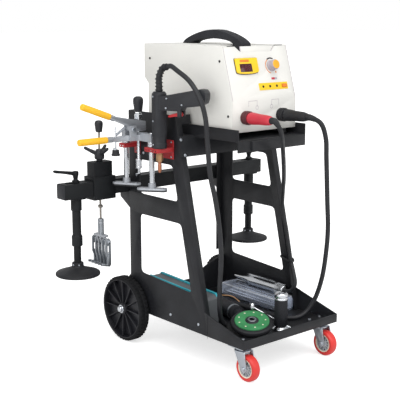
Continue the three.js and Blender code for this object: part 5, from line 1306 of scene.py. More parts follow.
@dataclass
class RearWheel:
    """A rear wheel: a ribbed plastic disc in a rubber tyre."""

    side: Side
    x: float = 208.0
    radius: float = 100.0
    half: float = 17.5
    seat: float = 91.0
    spokes: int = 12
    lugs: int = 46

    def build(self) -> None:
        """Makes the rim and the tyre."""
        at = (self.side.value * self.x, 0, AXLE_HEIGHT)
        label = self.side.label
        placing = Axis.X.at(at)
        self.tyre(at, placing).piece(f"tyre_{label}", TYRE, f"wheel_{label}", f"rear_wheel_tyre_{label}")
        self.rim(at, placing).piece(f"rim_{label}", WHEEL_PLASTIC, f"wheel_{label}", f"rear_wheel_rim_{label}")

    def tyre(self, at: Spot, placing: Matrix) -> Shape:
        """Makes the tyre with its two rows of lugs.

        Args:
            at: the wheel's middle.
            placing: the wheel's own frame.

        Returns:
            The unfinished piece.
        """
        h, r = self.half, self.radius
        half = [
            (self.seat + 0.3, -h + 0.6), (92.4, -h), (94.4, -h), (97.2, -h + 3.2), (98.4, -h + 7), (98.4, -2),
            (97.2, -1.2),
        ]
        shape = Shape().turned(mirrored(half), at, Axis.X, sides=96, soft=0.7)
        for sign, turn in ((1, 0.0), (-1, math.pi / self.lugs)):
            lug = brick((r - 3.2, -3.6, sign * 3.2), (r, 3.6, sign * 13.2), 0.5)
            shape.ring_of(lug, self.lugs, placing, TYRE, turn)
        return shape

    def rim(self, at: Spot, placing: Matrix) -> Shape:
        """Makes the rim: band, web, ribs and hub.

        Args:
            at: the wheel's middle.
            placing: the wheel's own frame.

        Returns:
            The unfinished piece.
        """
        h, seat = self.half, self.seat
        band = [(seat, -h), (seat, h), (seat - 2.4, h), (seat - 4.0, 3), (seat - 4.0, -3), (seat - 2.4, -h)]
        web, lip = section(15, seat - 4, -1.6, 1.6), section(12.2, 14.2, -16.2, 16.2)
        hub = mirrored([(8.5, -15.5), (14.0, -15.5), (17.0, -13.5), (18.5, -5)])
        shape = Shape()
        for profile in (band, web, hub, lip):
            shape.turned(profile, at, Axis.X, sides=72, soft=0.6)
        outline = [(15, -11), (seat - 3.4, -14), (seat - 3.4, 14), (15, 11)]
        rib = prism(outline, -1.4, 1.4, 0.5)
        rib.transform(Matrix.Rotation(math.pi / 2, 4, "X"))
        shape.ring_of(rib, self.spokes, placing, WHEEL_PLASTIC)
        stud = lathe(section(0, 2.4, -14.6, 14.6), sides=12, soft=0.5)
        stud.transform(Matrix.Translation((20.5, 0, 0)))
        return shape.ring_of(stud, 4, placing, WHEEL_PLASTIC, math.pi / 4)


@dataclass
class Castor:
    """A swivelling castor with a red tread."""

    side: Side
    x: float = 156.0
    y: float = -470.0
    trail: float = 22.0
    radius: float = 37.5
    ribs: int = 12

    def build(self) -> None:
        """Makes the plate, the fork and the wheel."""
        label, x = self.side.label, self.side.value * self.x
        cleaned(f"castor_plate_{label}", f"castor_seat_{label}", ZINC, 0.5)
        cleaned(f"castor_fork_{label}", f"castor_yoke_{label}", ZINC, 0.7, f"fork_{label}")
        wheel = (x, self.y - self.trail, self.radius)
        bolts = [((x + sign * 21.6, wheel[1], wheel[2]), (sign, 0, 0)) for sign in (-1, 1)]
        fixings(f"castor_bolts_{label}", bolts, hex_head(6.0, 1.4), ZINC, f"fork_{label}")
        self.wheel(wheel, label)

    def wheel(self, at: Spot, label: str) -> None:
        """Makes the wheel from its tread, its ring and its core.

        Args:
            at: the wheel's middle.
            label: the side's name.
        """
        body = f"castor_{label}"
        tread = mirrored([(26.0, -11.5), (30.5, -13), (34.6, -12.2), (36.9, -8.6), (37.5, -4.5)])
        Shape().turned(tread, at, Axis.X, sides=80, soft=1.4).piece(
            f"castor_tread_{label}", TREAD_RED, body, f"castor_wheel_{label}"
        )
        cream = mirrored([(23.4, -11.2), (26.4, -12.6)])
        Shape().turned(cream, at, Axis.X, sides=64, soft=0.6).piece(f"castor_ring_{label}", CREAM, body)
        placing = Axis.X.at(at)
        band, web = section(22.4, 23.8, -10.4, 10.4), section(10, 23.2, -1.3, 1.3)
        hub = mirrored([(4.5, -13), (9.0, -13), (11.0, -9)])
        core = Shape()
        for profile, soft in ((band, 0.3), (hub, 0.5), (web, 0.2)):
            core.turned(profile, at, Axis.X, soft=soft)
        rib = brick((9, -1.2, -8.5), (23.2, 1.2, 8.5), 0.4)
        core.ring_of(rib, self.ribs, placing, CORE_GREY)
        core.piece(f"castor_core_{label}", CORE_GREY, body)


# The welding machine


@dataclass
class Welder:
    """The welding machine with its controls."""

    half: float = 123.0
    seat: float = 901.3
    pocket: float = 884.3
    apex: float = 942.0
    underside: float = 916.5
    handle_half: float = 18.0
    display: Flat = (-48.0, 98.0)
    dial: Flat = (48.0, 93.0)
    button: Flat = (85.0, 35.0)

    @property
    def face(self) -> Matrix:
        """Gives the sloping face's frame: x across, z up the slope, -y outwards."""
        return Matrix.Translation((0, -CASE_FRONT, CASE_KNEE)) @ Matrix.Rotation(CASE_SLOPE, 4, "X")

    def build(self) -> None:
        """Makes the case and everything on it."""
        cleaned("case_cover", "case_shell", WHITE, 0.9)
        cleaned("case_chassis", "case_floor", WHITE, 0.5)
        cleaned("front_panel", "front_plate", WHITE, 0.5)
        dress("transformer", CORE)
        dress("control_board", BOARD)
        places = both_sides(self.half, [(-24, 858), (-333, 860), (-369, 713)])
        fixings("case_screws", places, screw_head(3.6, 1.8), DARK_STEEL_AND_SHADE)
        self.seams()
        self.feet()
        self.handle()
        self.vents()
        self.display_window()
        self.dial_knob()
        self.mode_strip()
        self.socket_marks()

    def seams(self) -> None:
        """Makes the flap in front of the handle's foot, a grey rim of painted shade round the flap, dark strips of
        painted shade in the narrow gap on each side of the roof's front edge, and grey seam lines at the front's sides.
        """
        flap = [(-57.0, 135.6), (57.0, 135.6), (69.6, 151.0), (-55.5, 151.0)]
        Shape(self.face).filled(flap, -2.2, -0.3, axis=Axis.FRONT, soft=0.4).piece("handle_flap", WHITE)
        # A grey rim behind the flap, painted shade in the gap round it.
        rim = [(-58.4, 134.5), (58.4, 134.5), (71.4, 151.2), (-56.9, 151.2)]
        Shape(self.face).filled(rim, -3.4, -1.4, axis=Axis.FRONT, soft=0.2).piece("flap_seat", GREY)
        # Dark strips on each side of the roof's front edge: painted shade where the gap is.
        gap_shade = Shape(self.face)
        for side in Side:
            low, high = sorted((side.value * 72.0, side.value * 106.0))
            gap_shade.brick((low, -0.2, 150.9), (high, 0.1, 152.7), 0.05)
        gap_shade.piece("roof_gaps", DARK_STEEL_AND_SHADE)
        edge = Shape(self.face)
        for x in (119.9, -120.9):
            edge.brick((x, -0.15, 1.0), (x + 1.0, 0.1, 151.5), 0.04)
        edge.piece("front_seams", GREY)

    def feet(self) -> None:
        """Makes the four rubber feet that the case stands on."""
        shape = Shape()
        profile = [(0, 650.4), (10.4, 650.4), (11.2, 652.0), (10.2, 667.4), (0, 667.4)]
        for side in Side:
            for y in (-359.0, -41.0):
                shape.turned(profile, (side.value * 97.0, y, 0), soft=0.6)
        shape.piece("case_feet", FOOT_RUBBER)

    def handle(self) -> None:
        """Makes the arched carrying handle."""
        seat, apex, under = self.seat, self.apex, self.underside
        outline = [(-308.0, self.pocket), (-308.0, seat)]
        for b, c, d in (
            ((-308, seat + 14), (-234, apex), (-184, apex)),
            ((-129, apex), (-49, seat + 14), (-49, seat)),
        ):
            outline += bend(outline[-1], b, c, d)
        ridge = outline[8:24]
        outline += [(-89.0, seat)]
        for b, c, d in (
            ((-89, seat + 8), (-139, under), (-184, under)),
            ((-229, under), (-270, seat + 8), (-270, seat)),
        ):
            outline += bend(outline[-1], b, c, d)
        outline += [(-270.0, self.pocket)]
        shape = Shape().filled(outline, -self.handle_half, self.handle_half, axis=Axis.X, soft=5.0)
        line = [(y, z + 0.4) for y, z in ridge] + [(y, z - 1.2) for y, z in reversed(ridge)]
        for x in (-6, 6):
            shape.filled(line, x - 1.2, x + 1.2, axis=Axis.X, soft=0.3)
        shape.piece("handle_arch", HANDLE, node="carry_handle")

    def vents(self) -> None:
        """Makes dark bars on the back of the case: painted shade in place of open cooling slots."""
        # Each bar is painted shade standing in for the inside of one slot.
        slot = brick((-60, -15.2, 0), (60, -14.2, 3.2), 0.4)
        slot.transform(Matrix.Translation((0, 0, 700)))
        Shape().row_of(slot, 9, (0, 0, 8.0), DARK_STEEL_AND_SHADE).piece("rear_slots", DARK_STEEL_AND_SHADE)

    def display_window(self) -> None:
        """Makes the yellow bezel with its dark window and digits."""
        x, s = self.display
        w, h = 41.0, 19.0
        bow = [(w * math.cos(math.radians(a)), -h + 6.0 * math.sin(math.radians(a))) for a in range(-165, -14, 15)]
        outline = [(-w, h), (-w, -h + 3), *bow, (w, -h + 3), (w, h)]
        outline = [(x + u, s + v) for u, v in outline]
        back = [(x + (u - x) * 1.035, s + (v - s) * 1.06) for u, v in outline]
        Shape(self.face).filled(back, -0.05, 1.4, axis=Axis.FRONT, soft=0.4, corner=3.0).piece(
            "display_gasket", PLASTIC
        )
        bezel = Shape(self.face).filled(outline, 0.3, 6.0, axis=Axis.FRONT, soft=1.2, corner=2.5)
        bezel.piece("display_bezel", PANEL_YELLOW, node="display_unit")
        glass = Shape(self.face).brick((x - 29, -6.5, s - 20), (x + 16, -4.5, s + 3), 0.6)
        glass.piece("display_glass", WINDOW)
        mark = Shape(self.face).brick((x - 26, -6.4, s + 7.5), (x + 8, -5.4, s + 14.5), 0.4)
        mark.piece("display_mark", ORANGE)
        digits = Shape(self.face)
        for k in range(3):
            self.digit(digits, x - 18.5 + 12 * k, s - 8.5)
        digits.piece("display_digits", SEGMENT)

    @staticmethod
    def digit(shape: Shape, x: float, s: float, width: float = 6.5, height: float = 12.0) -> None:
        """Adds the seven unlit bars of one digit.

        Args:
            shape: the piece that gets them.
            x: the digit's middle across.
            s: its middle up the slope.
            width: its width.
            height: its height.
        """
        w, h, t = width / 2, height / 2, 0.7
        bars = [(-w + 1, w - 1, v - t, v + t) for v in (-h, 0.0, h)]
        bars += [(u - t, u + t, v + 0.9, v + h - 0.9) for u in (-w, w) for v in (-h, 0.0)]
        for u0, u1, v0, v1 in bars:
            shape.brick((x + u0, -6.62, s + v0), (x + u1, -6.3, s + v1), 0.1)

    def dial_knob(self) -> None:
        """Makes the dial and the scale printed round it."""
        x, s = self.dial
        face = self.face
        knob = Shape(face).turned(
            [(0, 0.5), (15.5, 0.5), (15.5, 3.6), (14.0, 4.4), (13.2, 20.5), (0, 20.5)], (x, 0, s), Axis.FRONT, soft=0.9
        )
        rib = brick((12.6, -0.6, 5.4), (14.2, 0.6, 19.0), 0.3)
        placing = Axis.FRONT.at((x, 0, s))
        knob.ring_of(rib, 24, placing, GREY).piece("dial_body", GREY, "dial", "dial_knob")
        top = [(0, 20.2), (12.4, 20.2), (12.4, 21.4), (11.4, 22), (0, 22)]
        cap = Shape(face).turned(top, (x, 0, s), Axis.FRONT, soft=0.5)
        cap.brick((x - 1.0, -22.5, s + 3), (x + 1.0, -21.6, s + 12), 0.2)
        cap.piece("dial_cap", AMBER, "dial")
        scale = Shape(face)
        band = arc((x, s), 22.4, 95, 255, 24) + arc((x, s), 20.2, 255, 95, 24)
        scale.filled(band, -0.05, 0.25, axis=Axis.FRONT, soft=0.0)
        scale.brick((x + 12, -0.25, s - 21), (x + 16, 0.05, s - 15), 0.1)
        scale.piece("dial_scale", ORANGE)
        band = arc((x, s), 24.0, 62, 124, 16) + arc((x, s), 20.5, 124, 62, 16)
        Shape(face).filled(band, -0.05, 0.3, axis=Axis.FRONT, soft=0.0).piece("dial_stop_band", DARK_STEEL_AND_SHADE)

    def mode_strip(self) -> None:
        """Makes the yellow strip with its lamps and button."""
        x, s = self.button
        face = self.face
        outline = [(-14.0, 25.5), (74.8, 25.5), (74.8, 30), (74.8, 40), (74.8, 45.5), (-14.0, 45.5)]
        strip = Shape(face).filled(outline, -0.05, 0.9, axis=Axis.FRONT, soft=0.3, corner=1.5)
        for x0, low, high, soft in ((74, 40.2, 45.5, 0.3), (74, 25.5, 29.8, 0.3), (95.2, 29, 41, 0.2)):
            side = [(x0, low), (98, low), (98, high), (x0, high)]
            strip.filled(side, -0.05, 0.9, axis=Axis.FRONT, soft=soft)
        strip.piece("mode_strip", PANEL_YELLOW)
        dots = Shape(face)
        dome = [(0, 0), (3.6, 0), (3.6, 1.4), (2.2, 2.2), (0, 2.4)]
        for dot in (2.0, 28.5, 55.0):
            dots.turned(dome, (dot, 0, 35.5), Axis.FRONT, soft=0.3, sides=24)
        dots.piece("mode_lamps", DARK_STEEL_AND_SHADE)
        cap = Shape(face).brick((x - 9, -3.0, s - 4.5), (x + 9, 5.3, s + 4.5), 0.9)
        cap.brick((x - 11, 2.8, s - 6.5), (x + 11, 5.3, s + 6.5), 0.4)
        cap.piece("mode_key", ORANGE, "button", "mode_button")
        Shape(face).brick((40, -0.8, 54), (52, 0, 60), 0.4).piece("signal_lens", RED)
        Shape(face).brick((52.3, -0.7, 54), (61, 0, 60), 0.4).piece("signal_lens_end", GREY)

    def socket_marks(self) -> None:
        """Draws the thin line signs above the sockets."""
        lines = Shape()
        y = -CASE_FRONT
        for left, right in ((-62, -30), (26, 54)):
            for x0, x1, z0, z1 in ((left, left, 737, 752), (left, right, 752, 752), (right, right, 737, 752)):
                lines.brick((x0 - 0.5, y - 0.15, z0 - 0.5), (x1 + 0.5, y + 0.1, z1 + 0.5), 0.05)
        for x in (-30, 26):
            lines.turned(section(4.6, 5.6, 0, 0.15), (x, y, 733), Axis.FRONT, soft=0.0)
        lines.piece("socket_signs", GREY)
        for label, finish in (("red", MAROON), ("black", RUBBER)):
            at = (SOCKET_X[label], y, SOCKET_Z)
            ring = Shape().turned(section(16.3, 18.4, 0.1, 5.1), at, Axis.FRONT, soft=0.3)
            ring.piece(f"socket_ring_{label}", finish)


# The gun


@dataclass
class Gun:
    """The spot welding gun, drawn with its barrel on the z axis and its grip along -y."""

    x: float = -228.0
    y: float = -200.5
    half: float = 18.0
    ribs: int = 36

    @property
    def placing(self) -> Matrix:
        """Gives the gun's own frame."""
        return Matrix.Translation((self.x, self.y, 0)) @ Matrix.Rotation(GUN_TURN, 4, "Z")

    def build(self) -> None:
        """Makes the body, the trigger and the electrode."""
        placing = self.placing
        body = Shape(placing).turned(
            [(0, 618), (19.0, 618), (20.6, 620), (20.6, 633), (19.8, 634), (19.8, 650), (20.6, 651), (20.6, 770),
             (16, 776), (0, 776)],
            soft=1.2, sides=72,
        )
        rib = brick((19.5, -0.6, 654), (21, 0.6, 766), 0.4)
        body.ring_of(rib, self.ribs, Matrix.Identity(4), PLASTIC)
        outline = [
            (0, 762), (-64, 774.5), (-128, 787), (-141, 785.5), (-148, 776), (-147.5, 762), (-143, 748), (-128, 741),
            (-78, 735), (-73.3, 725), (0, 725),
        ]
        body.filled(outline, -self.half, self.half, axis=Axis.X, soft=5.0, corner=3.0)
        for sign in (-1, 1):
            low, high = sorted((sign * 7.0, sign * self.half))
            body.brick((low, -73, 709), (high, -63, 727), 1.2)
            lines = brick((sign * 17.6 - 0.6, -0.5, 0), (sign * 17.6 + 0.6, 0.5, 24), 0.3)
            lines.transform(Matrix.Translation((0, -104, 747)))
            body.row_of(lines, 9, (0, -4.0, 0.8), PLASTIC)
        body.piece("gun_shell", PLASTIC, node="gun_body")
        self.screws(placing)
        trigger = Shape(placing).filled(
            [(-73, 714), (-68, 721.5), (-63, 721.5), (-34, 713.5), (-30, 710), (-30, 706.5), (-36, 706.5),
             (-52, 709.5), (-68, 709)],
            -6.5, 6.5, axis=Axis.X, soft=1.6, corner=1.5,
        )
        trigger.piece("trigger_lever", TRIGGER_RED, "trigger", "gun_trigger")
        nut = [(0, 581), (9.2, 581), (10, 582.5), (10, 600.5), (9.2, 602), (0, 602)]
        collar = Shape(placing).turned(nut, sides=6, soft=0)
        collar.turned(section(0, 8, 601.5, 617.7), soft=0.6)
        for z in (604.5, 608.5, 612.5):
            collar.turned(section(7.5, 8.5, z, z + 1.6), soft=0.4)
        collar.piece("electrode_collar", BRASS, node="gun_electrode")
        tip = Shape(placing).turned(
            [(0, 549), (2.6, 549), (3.4, 550), (5.5, 556), (5.5, 572), (4.8, 573), (4.8, 575), (5.5, 576),
             (5.5, 581.5), (0, 581.5)],
            soft=0.5,
        )
        tip.piece("electrode_point", COPPER)

    def screws(self, placing: Matrix) -> None:
        """Sets the screws of the gun's two halves, seen on its left side and through on its right."""
        places = both_sides(self.half, [(-30.9, 759.1), (-28.9, 732.7), (-77.2, 743.0), (-124, 770.0)])
        for z in (763.0, 695.1, 629.2):
            places += [((s.value * 17.4, 11.0, z), (s.value * 17.4, 11.0, 0)) for s in Side]
        fixings("gun_screws", places, screw_head(2.6, 1.4), ZINC, "cart", placing)


# The hand puller


@dataclass
class HandPuller:
    """The two-handled puller that stands in the red brackets."""

    x: float = -230.0
    y: float = -106.0
    columns: Flat = (-45.0, -167.0)
    grip: float = 9.4
    core_across: float = 0.76
    core_share: float = 0.925
    squeeze_keep: float = 0.82
    grip_tilt: float = 20.3

    def build(self) -> None:
        """Makes the frame, the lever, the rod with its knob, the spring and the feet."""
        self.standing_frame()
        self.lever()
        self.rod()
        self.spring()
        for label, y, turn in (("rear", self.columns[0], 31), ("front", self.columns[1], 38)):
            self.foot(label, y, turn)

    def standing_frame(self) -> None:
        """Makes the bridge on its columns, the lower handle and the stop."""
        root, out = Vector((-311.0, self.y, 641.0)), Vector((-1, 0, 0))
        bridge = slimmed(copied("puller_frame"), root, out, self.core_across, self.core_share)
        bridge.piece("puller_bridge", CAST, node="puller_frame", edge=0.8)
        sleeves = Shape()
        for y in self.columns:
            sleeves.turned(
                [(0, 507.2), (6.6, 507.2), (7.7, 508.6), (7.7, 617), (0, 617)], (self.x, y, 0), soft=0.4, sides=40
            )
            sleeves.turned(
                [(0, 618), (10.4, 618), (11.3, 619.2), (11.3, 623.6), (10.2, 624.4), (10.2, 625.6), (11.3, 626.4),
                 (11.3, 632), (0, 632)],
                (self.x, y, 0), soft=0.4, sides=40,
            )
            sleeves.turned([(0, 654), (6.4, 654), (6.4, 657.6), (5.4, 658.8), (0, 659)], (self.x, y, 0), soft=0.3)
        sleeves.piece("puller_columns", CHROME)
        self.grip_tube("lower_grip", (-341.0, self.y, 641.0), (-435.0, self.y, 641.0))
        pad = Shape().turned(
            [(0, -0.3), (11.4, -0.3), (12.2, 1.2), (12.2, 4.4), (10.2, 6.2), (9.8, 15.0), (8.8, 17.2), (0, 17.2)],
            (-311, self.y, 594.3), soft=0.8, sides=40,
        )
        pad.piece("stop_pad", RUBBER)
        screw = Shape().bar((-311, self.y, 606), (-311, self.y, 676), 2.4, sides=20)
        screw.thread(38, 1.0, 2.3, 0.35, (-311, self.y, 637), CHROME)
        screw.piece("stop_screw", CHROME)
        bolt = [((self.x - 29, self.y + s * 15.5, 666), (0, s, 0)) for s in (-1, 1)]
        fixings("pivot_bolts", bolt, hex_head(6.0, 3.4), ZINC)

    def grip_tube(self, name: str, start: Spot, end: Spot, body: str = "cart") -> None:
        """Makes a yellow sleeve over the end of a handle.

        Args:
            name: the piece's name.
            start: where it begins.
            end: its closed end.
            body: the body that it rides on.
        """
        r, length = self.grip, (Vector(end) - Vector(start)).length
        profile = [
            (0, 0), (r - 1, 0), (r, 1.2), (r + 0.15, length * 0.5), (r, length - 2.6), (r - 1.8, length - 0.3),
            (0, length),
        ]
        Shape().add(lathe(profile, sides=48, soft=1.6), aimed(start, end)).piece(name, YELLOW, body)

    def lever(self) -> None:
        """Makes the upper handle with its head."""
        across, up = math.cos(math.radians(self.grip_tilt)), math.sin(math.radians(self.grip_tilt))
        root = Vector((self.x - 92, self.y, 702.0))
        out = Vector((-across, 0, up))
        bar = slimmed(copied("puller_lever"), root - out * 12, out, self.core_across, self.core_share)
        bar.piece("lever_bar", CAST, "lever", "puller_lever", edge=0.8)
        self.grip_tube("upper_grip", tuple(root + out * 8), tuple(root + out * 107.5), "lever")

    def rod(self) -> None:
        """Makes the pull rod with its nuts, hook and knob."""
        at = (self.x, self.y, 0)
        rod = Shape().turned(section(0, 4.7, 577, 707), at, soft=0.3, sides=28)
        rod.thread(52, 0.98, 4.55, 0.42, (self.x, self.y, 579), CHROME)
        rod.turned(
            [(0, 550), (8.2, 550), (9, 551.2), (9, 556), (8.4, 556.8), (8.4, 571), (9, 571.8), (9, 576.8), (8.2, 578),
             (0, 578)],
            at, soft=0.4,
        )
        rod.turned([(0, 534), (2.6, 534), (3.2, 535), (3.2, 551), (0, 551)], at, soft=0.3, sides=24)
        rod.brick((self.x - 9.2, self.y - 1.6, 534), (self.x, self.y + 1.6, 537.2), 0.5)
        nuts = (
            [(0, 691.9), (11, 691.9), (12, 693), (12, 706), (11, 707), (0, 707)],
            [(0, 706.8), (8.6, 706.8), (9.5, 707.8), (9.5, 712), (8.6, 713), (0, 713)],
        )
        for profile in nuts:
            rod.turned(profile, at, sides=6, soft=0)
        rod.piece("pull_rod_steel", CHROME, "pull_rod", "puller_rod")
        knob = Shape().turned(hand_knob(15.0, 11.0, 44.0, 713.3), at, soft=4.0, sides=56)
        knob.piece("puller_ball_knob", PLASTIC, "rod_knob", "puller_knob")

    def spring(self) -> None:
        """Makes the return spring between the handles."""
        start = Vector((self.x - 79, self.y, 652.1))
        end = Vector((self.x - 47, self.y, 672.5))
        shape = Shape().wound(13, 3.1, (end - start).length, 0.9, aimed(start, end), ZINC)
        coil = shape.piece("return_spring", ZINC, node="puller_spring")
        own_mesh(coil)

    def foot(self, label: str, y: float, turn: float) -> None:
        """Makes one foot: an alloy plate on a rubber pad.

        Args:
            label: which foot.
            y: where its column is.
            turn: how far it is turned, in degrees.
        """
        placing = Matrix.Translation((self.x, y, 0)) @ Matrix.Rotation(math.radians(turn), 4, "Z")
        stadium = arc((0, 31), 13, 0, 180) + arc((0, -31), 13, 180, 360)
        plate = Shape(placing).filled(stadium, 495, 501, soft=1.4)
        boss = [(8.0, 500), (11.4, 500), (10.6, 513.6), (9.6, 515), (8.0, 515)]
        plate.turned(boss, soft=0.8)
        for ly in (-30, 30):
            plate.turned([(0, 500), (3.4, 500), (3.4, 502.4), (0, 502.6)], (0, ly, 0), soft=0.4, sides=20)
        plate.piece(f"foot_{label}_plate", CAST, f"foot_{label}", f"puller_foot_{label}")
        pad = Shape(placing).filled(stadium, 491, 495.4, soft=1.2)
        pad.piece(f"foot_{label}_pad", RUBBER, f"foot_{label}")


def hand_knob(radius: float, neck: float, height: float, z: float) -> list[Flat]:
    """Gives the profile of a rounded hand knob that stands at a height."""
    shares = [
        (neck / radius, 0), (0.8, 0.1), (0.86, 0.3), (0.97, 0.55), (1.0, 0.7), (0.95, 0.84), (0.76, 0.94),
        (0.42, 0.992),
    ]
    return [(0, z), *((radius * r, z + height * h) for r, h in shares), (0, z + height)]


# The beam at the back


@dataclass
class Beam:
    """The slotted beam with its sliding puller."""

    x: float = -277.0
    near: float = -412.0
    far: float = 366.0

    def build(self) -> None:
        """Makes the beam, the carriage, the spindle and the claw."""
        cleaned("puller_beam", "beam_tube", BEAM_PAINT, 2.0)
        for label, x, sign in (("near", self.near, -1), ("far", self.far, 1)):
            low, high = sorted((x - sign * 2.5, x + sign * 2.2))
            cap = Shape().brick((low, BEAM_Y - 20.4, 462.6), (high, BEAM_Y + 20.4, 503.4), 1.0)
            low, high = sorted((x + sign * 1.8, x + sign * 3.0))
            cap.brick((low, BEAM_Y - 14, 469), (high, BEAM_Y + 14, 497), 0.5)
            cap.piece(f"beam_cap_{label}", PLASTIC)
        cleaned("beam_carriage", "carriage_block", BEAM_PAINT, 1.4, "carriage")
        side = [((self.x + dx, y, 455.0), (0, way, 0)) for y, way in ((-2.0, -1), (52.0, 1)) for dx in (-30, 30)]
        fixings("carriage_screws", side, screw_head(3.0, 1.6), DARK_STEEL_AND_SHADE, "carriage")
        self.wing_nut()
        self.spindle()
        self.claw()

    def wing_nut(self) -> None:
        """Makes the three-armed hand nut."""
        at = (self.x, BEAM_Y, 0)
        place = Matrix.Translation(at)
        nut = Shape().turned(
            [(3.9, 560.3), (9, 560.3), (9, 566), (13.2, 566.4), (14, 568), (14, 585), (12, 589), (9, 596), (3.9, 596)],
            at, soft=1.2,
        )
        path = ((8, 0, 583), (18, 0, 588), (30, 0, 594), (39, 0, 599), (43, 0, 601.2), (45.2, 0, 602.2))
        arm = tube([Vector(p) for p in path], [6.8, 6.0, 5.0, 4.9, 3.8, 1.6], 20)
        nut.ring_of(arm, 3, place, PLASTIC, math.radians(30))
        rib = brick((12.8, -0.8, 568.5), (14.6, 0.8, 584.5), 0.4)
        nut.ring_of(rib, 18, place, PLASTIC)
        nut.piece("wing_nut_body", PLASTIC, "wing", "wing_nut")

    def spindle(self) -> None:
        """Makes the threaded spindle with its stop nut and top knob."""
        at = (self.x, BEAM_Y, 0)
        rod = Shape().turned(section(0, 3.1, 386.5, 647), at, soft=0.2, sides=24)
        rod.thread(148, 1.75, 3.0, 0.4, (self.x, BEAM_Y, 387.5), SPINDLE_STEEL)
        rod.turned([(0, 420.6), (7.2, 420.6), (8, 421.6), (8, 427.8), (7.2, 428.6), (0, 428.6)], at, sides=6, soft=0)
        rod.piece("spindle_rod", SPINDLE_STEEL, "spindle", "pull_spindle")
        knob = Shape().turned(hand_knob(12.5, 9.0, 35.0, 646.0), at, soft=3.4, sides=56)
        knob.piece("spindle_knob", PLASTIC, "spindle")

    def claw(self) -> None:
        """Makes the yoke and the five hooks on their pin."""
        at = (self.x, BEAM_Y, 0)
        cleaned("claw_yoke", "yoke_fork", CAST, 0.7, "yoke")
        collar = Shape().turned(
            [(0, 340), (9.3, 340), (9.3, 374), (8.6, 375), (8.6, 377.5), (9.3, 378.5), (9.3, 383.8), (7.6, 386.2),
             (0, 386.2)],
            at, soft=0.5,
        )
        collar.piece("yoke_coupling", HOOK_STEEL, "yoke")
        cleaned("claw_hooks", "hook_plates", HOOK_STEEL, 0.8, "hooks")
        nuts = [((self.x, BEAM_Y + s * 40.6, 322), (0, s, 0)) for s in (-1, 1)]
        fixings("hook_pin_nuts", nuts, hex_head(5.6, 3.0), ZINC, "hooks")


@dataclass
class Leg:
    """A support leg: a sleeve under the beam, a foot that slides in it and a clamp lever on top."""

    label: str
    x: float
    turn: float

    def build(self) -> None:
        """Makes the leg's three moving parts."""
        at = (self.x, BEAM_Y, 0)
        sleeve = Shape().turned(
            [(0, 457), (16, 457), (16, 424), (13, 422.2), (13, 349.5), (15.4, 348), (16, 346.2), (16, 318.2),
             (15, 317), (11.2, 317), (11.2, 446.8), (0, 446.8)],
            at, soft=0.8, sides=56,
        )
        sleeve.brick((self.x - 21, BEAM_Y - 21, 456.7), (self.x + 21, BEAM_Y + 21, 460.7), 1.0)
        sleeve.turned(section(0, 4, 460, 508), at, soft=0.2, sides=24)
        washer = [(0, 505.3), (10.4, 505.3), (11, 506), (11, 507.6), (10.4, 508.3), (0, 508.3)]
        sleeve.turned(washer, at, soft=0.2, sides=40)
        sleeve.piece(f"leg_{self.label}_sleeve", BEAM_PAINT, f"sleeve_{self.label}", f"leg_sleeve_{self.label}")
        self.foot(at)
        self.clamp(at)

    def foot(self, at: Spot) -> None:
        """Makes the tube and its wide rubber foot."""
        foot = Shape().turned(
            [(0, 229), (64.5, 229), (66, 230.6), (66, 234.6), (64.4, 237.4), (52, 241.6), (38, 246.2), (26, 250.6),
             (18.6, 254.4), (17.2, 257), (17.2, 265.4), (15.8, 267), (0, 267)],
            at, soft=1.6, sides=88,
        )
        foot.piece(f"leg_{self.label}_cone", FOOT_RUBBER, f"leg_{self.label}", f"leg_foot_{self.label}")
        tube_part = Shape().turned([(0, 266), (11, 266), (11, 399), (10, 400), (0, 400)], at, soft=0.4, sides=48)
        tube_part.piece(f"leg_{self.label}_tube", BEAM_PAINT, f"leg_{self.label}")
        bolts = []
        for k in range(3):
            a = math.radians(100 + 60 * k) + math.pi / 2
            way = (math.cos(a), math.sin(a), 0)
            bolts.append(((at[0] + 17 * way[0], at[1] + 17 * way[1], 261.0), way))
        fixings(f"leg_{self.label}_bolts", bolts, screw_head(2.6, 1.4), ZINC, f"leg_{self.label}")

    def clamp(self, at: Spot) -> None:
        """Makes the clamp lever on top of the beam."""
        placing = Matrix.Translation(at) @ Matrix.Rotation(math.radians(self.turn), 4, "Z")
        lever = Shape(placing).turned(
            [(0, 508.6), (10.4, 508.6), (11, 509.4), (11, 511.3), (7.2, 513.5), (6.2, 516), (8.6, 527), (9.2, 530),
             (9.2, 535.6), (7.4, 539.3), (0, 539.5)],
            soft=1.0, sides=40,
        )
        path = (
            (0, 0, 531), (14, 0, 534.5), (34, 0, 538.5), (52, 0, 541.6), (64, 0, 543.6), (70, 0, 545),
            (74.3, 0, 546.4),
        )
        lever.add(tube([Vector(p) for p in path], [6.4, 5.6, 4.6, 4.2, 4.4, 4.3, 2.2], 20))
        lever.piece(f"clamp_{self.label}_handle", BEAM_PAINT, f"clamp_{self.label}", f"clamp_lever_{self.label}")


# What lies in the base tray


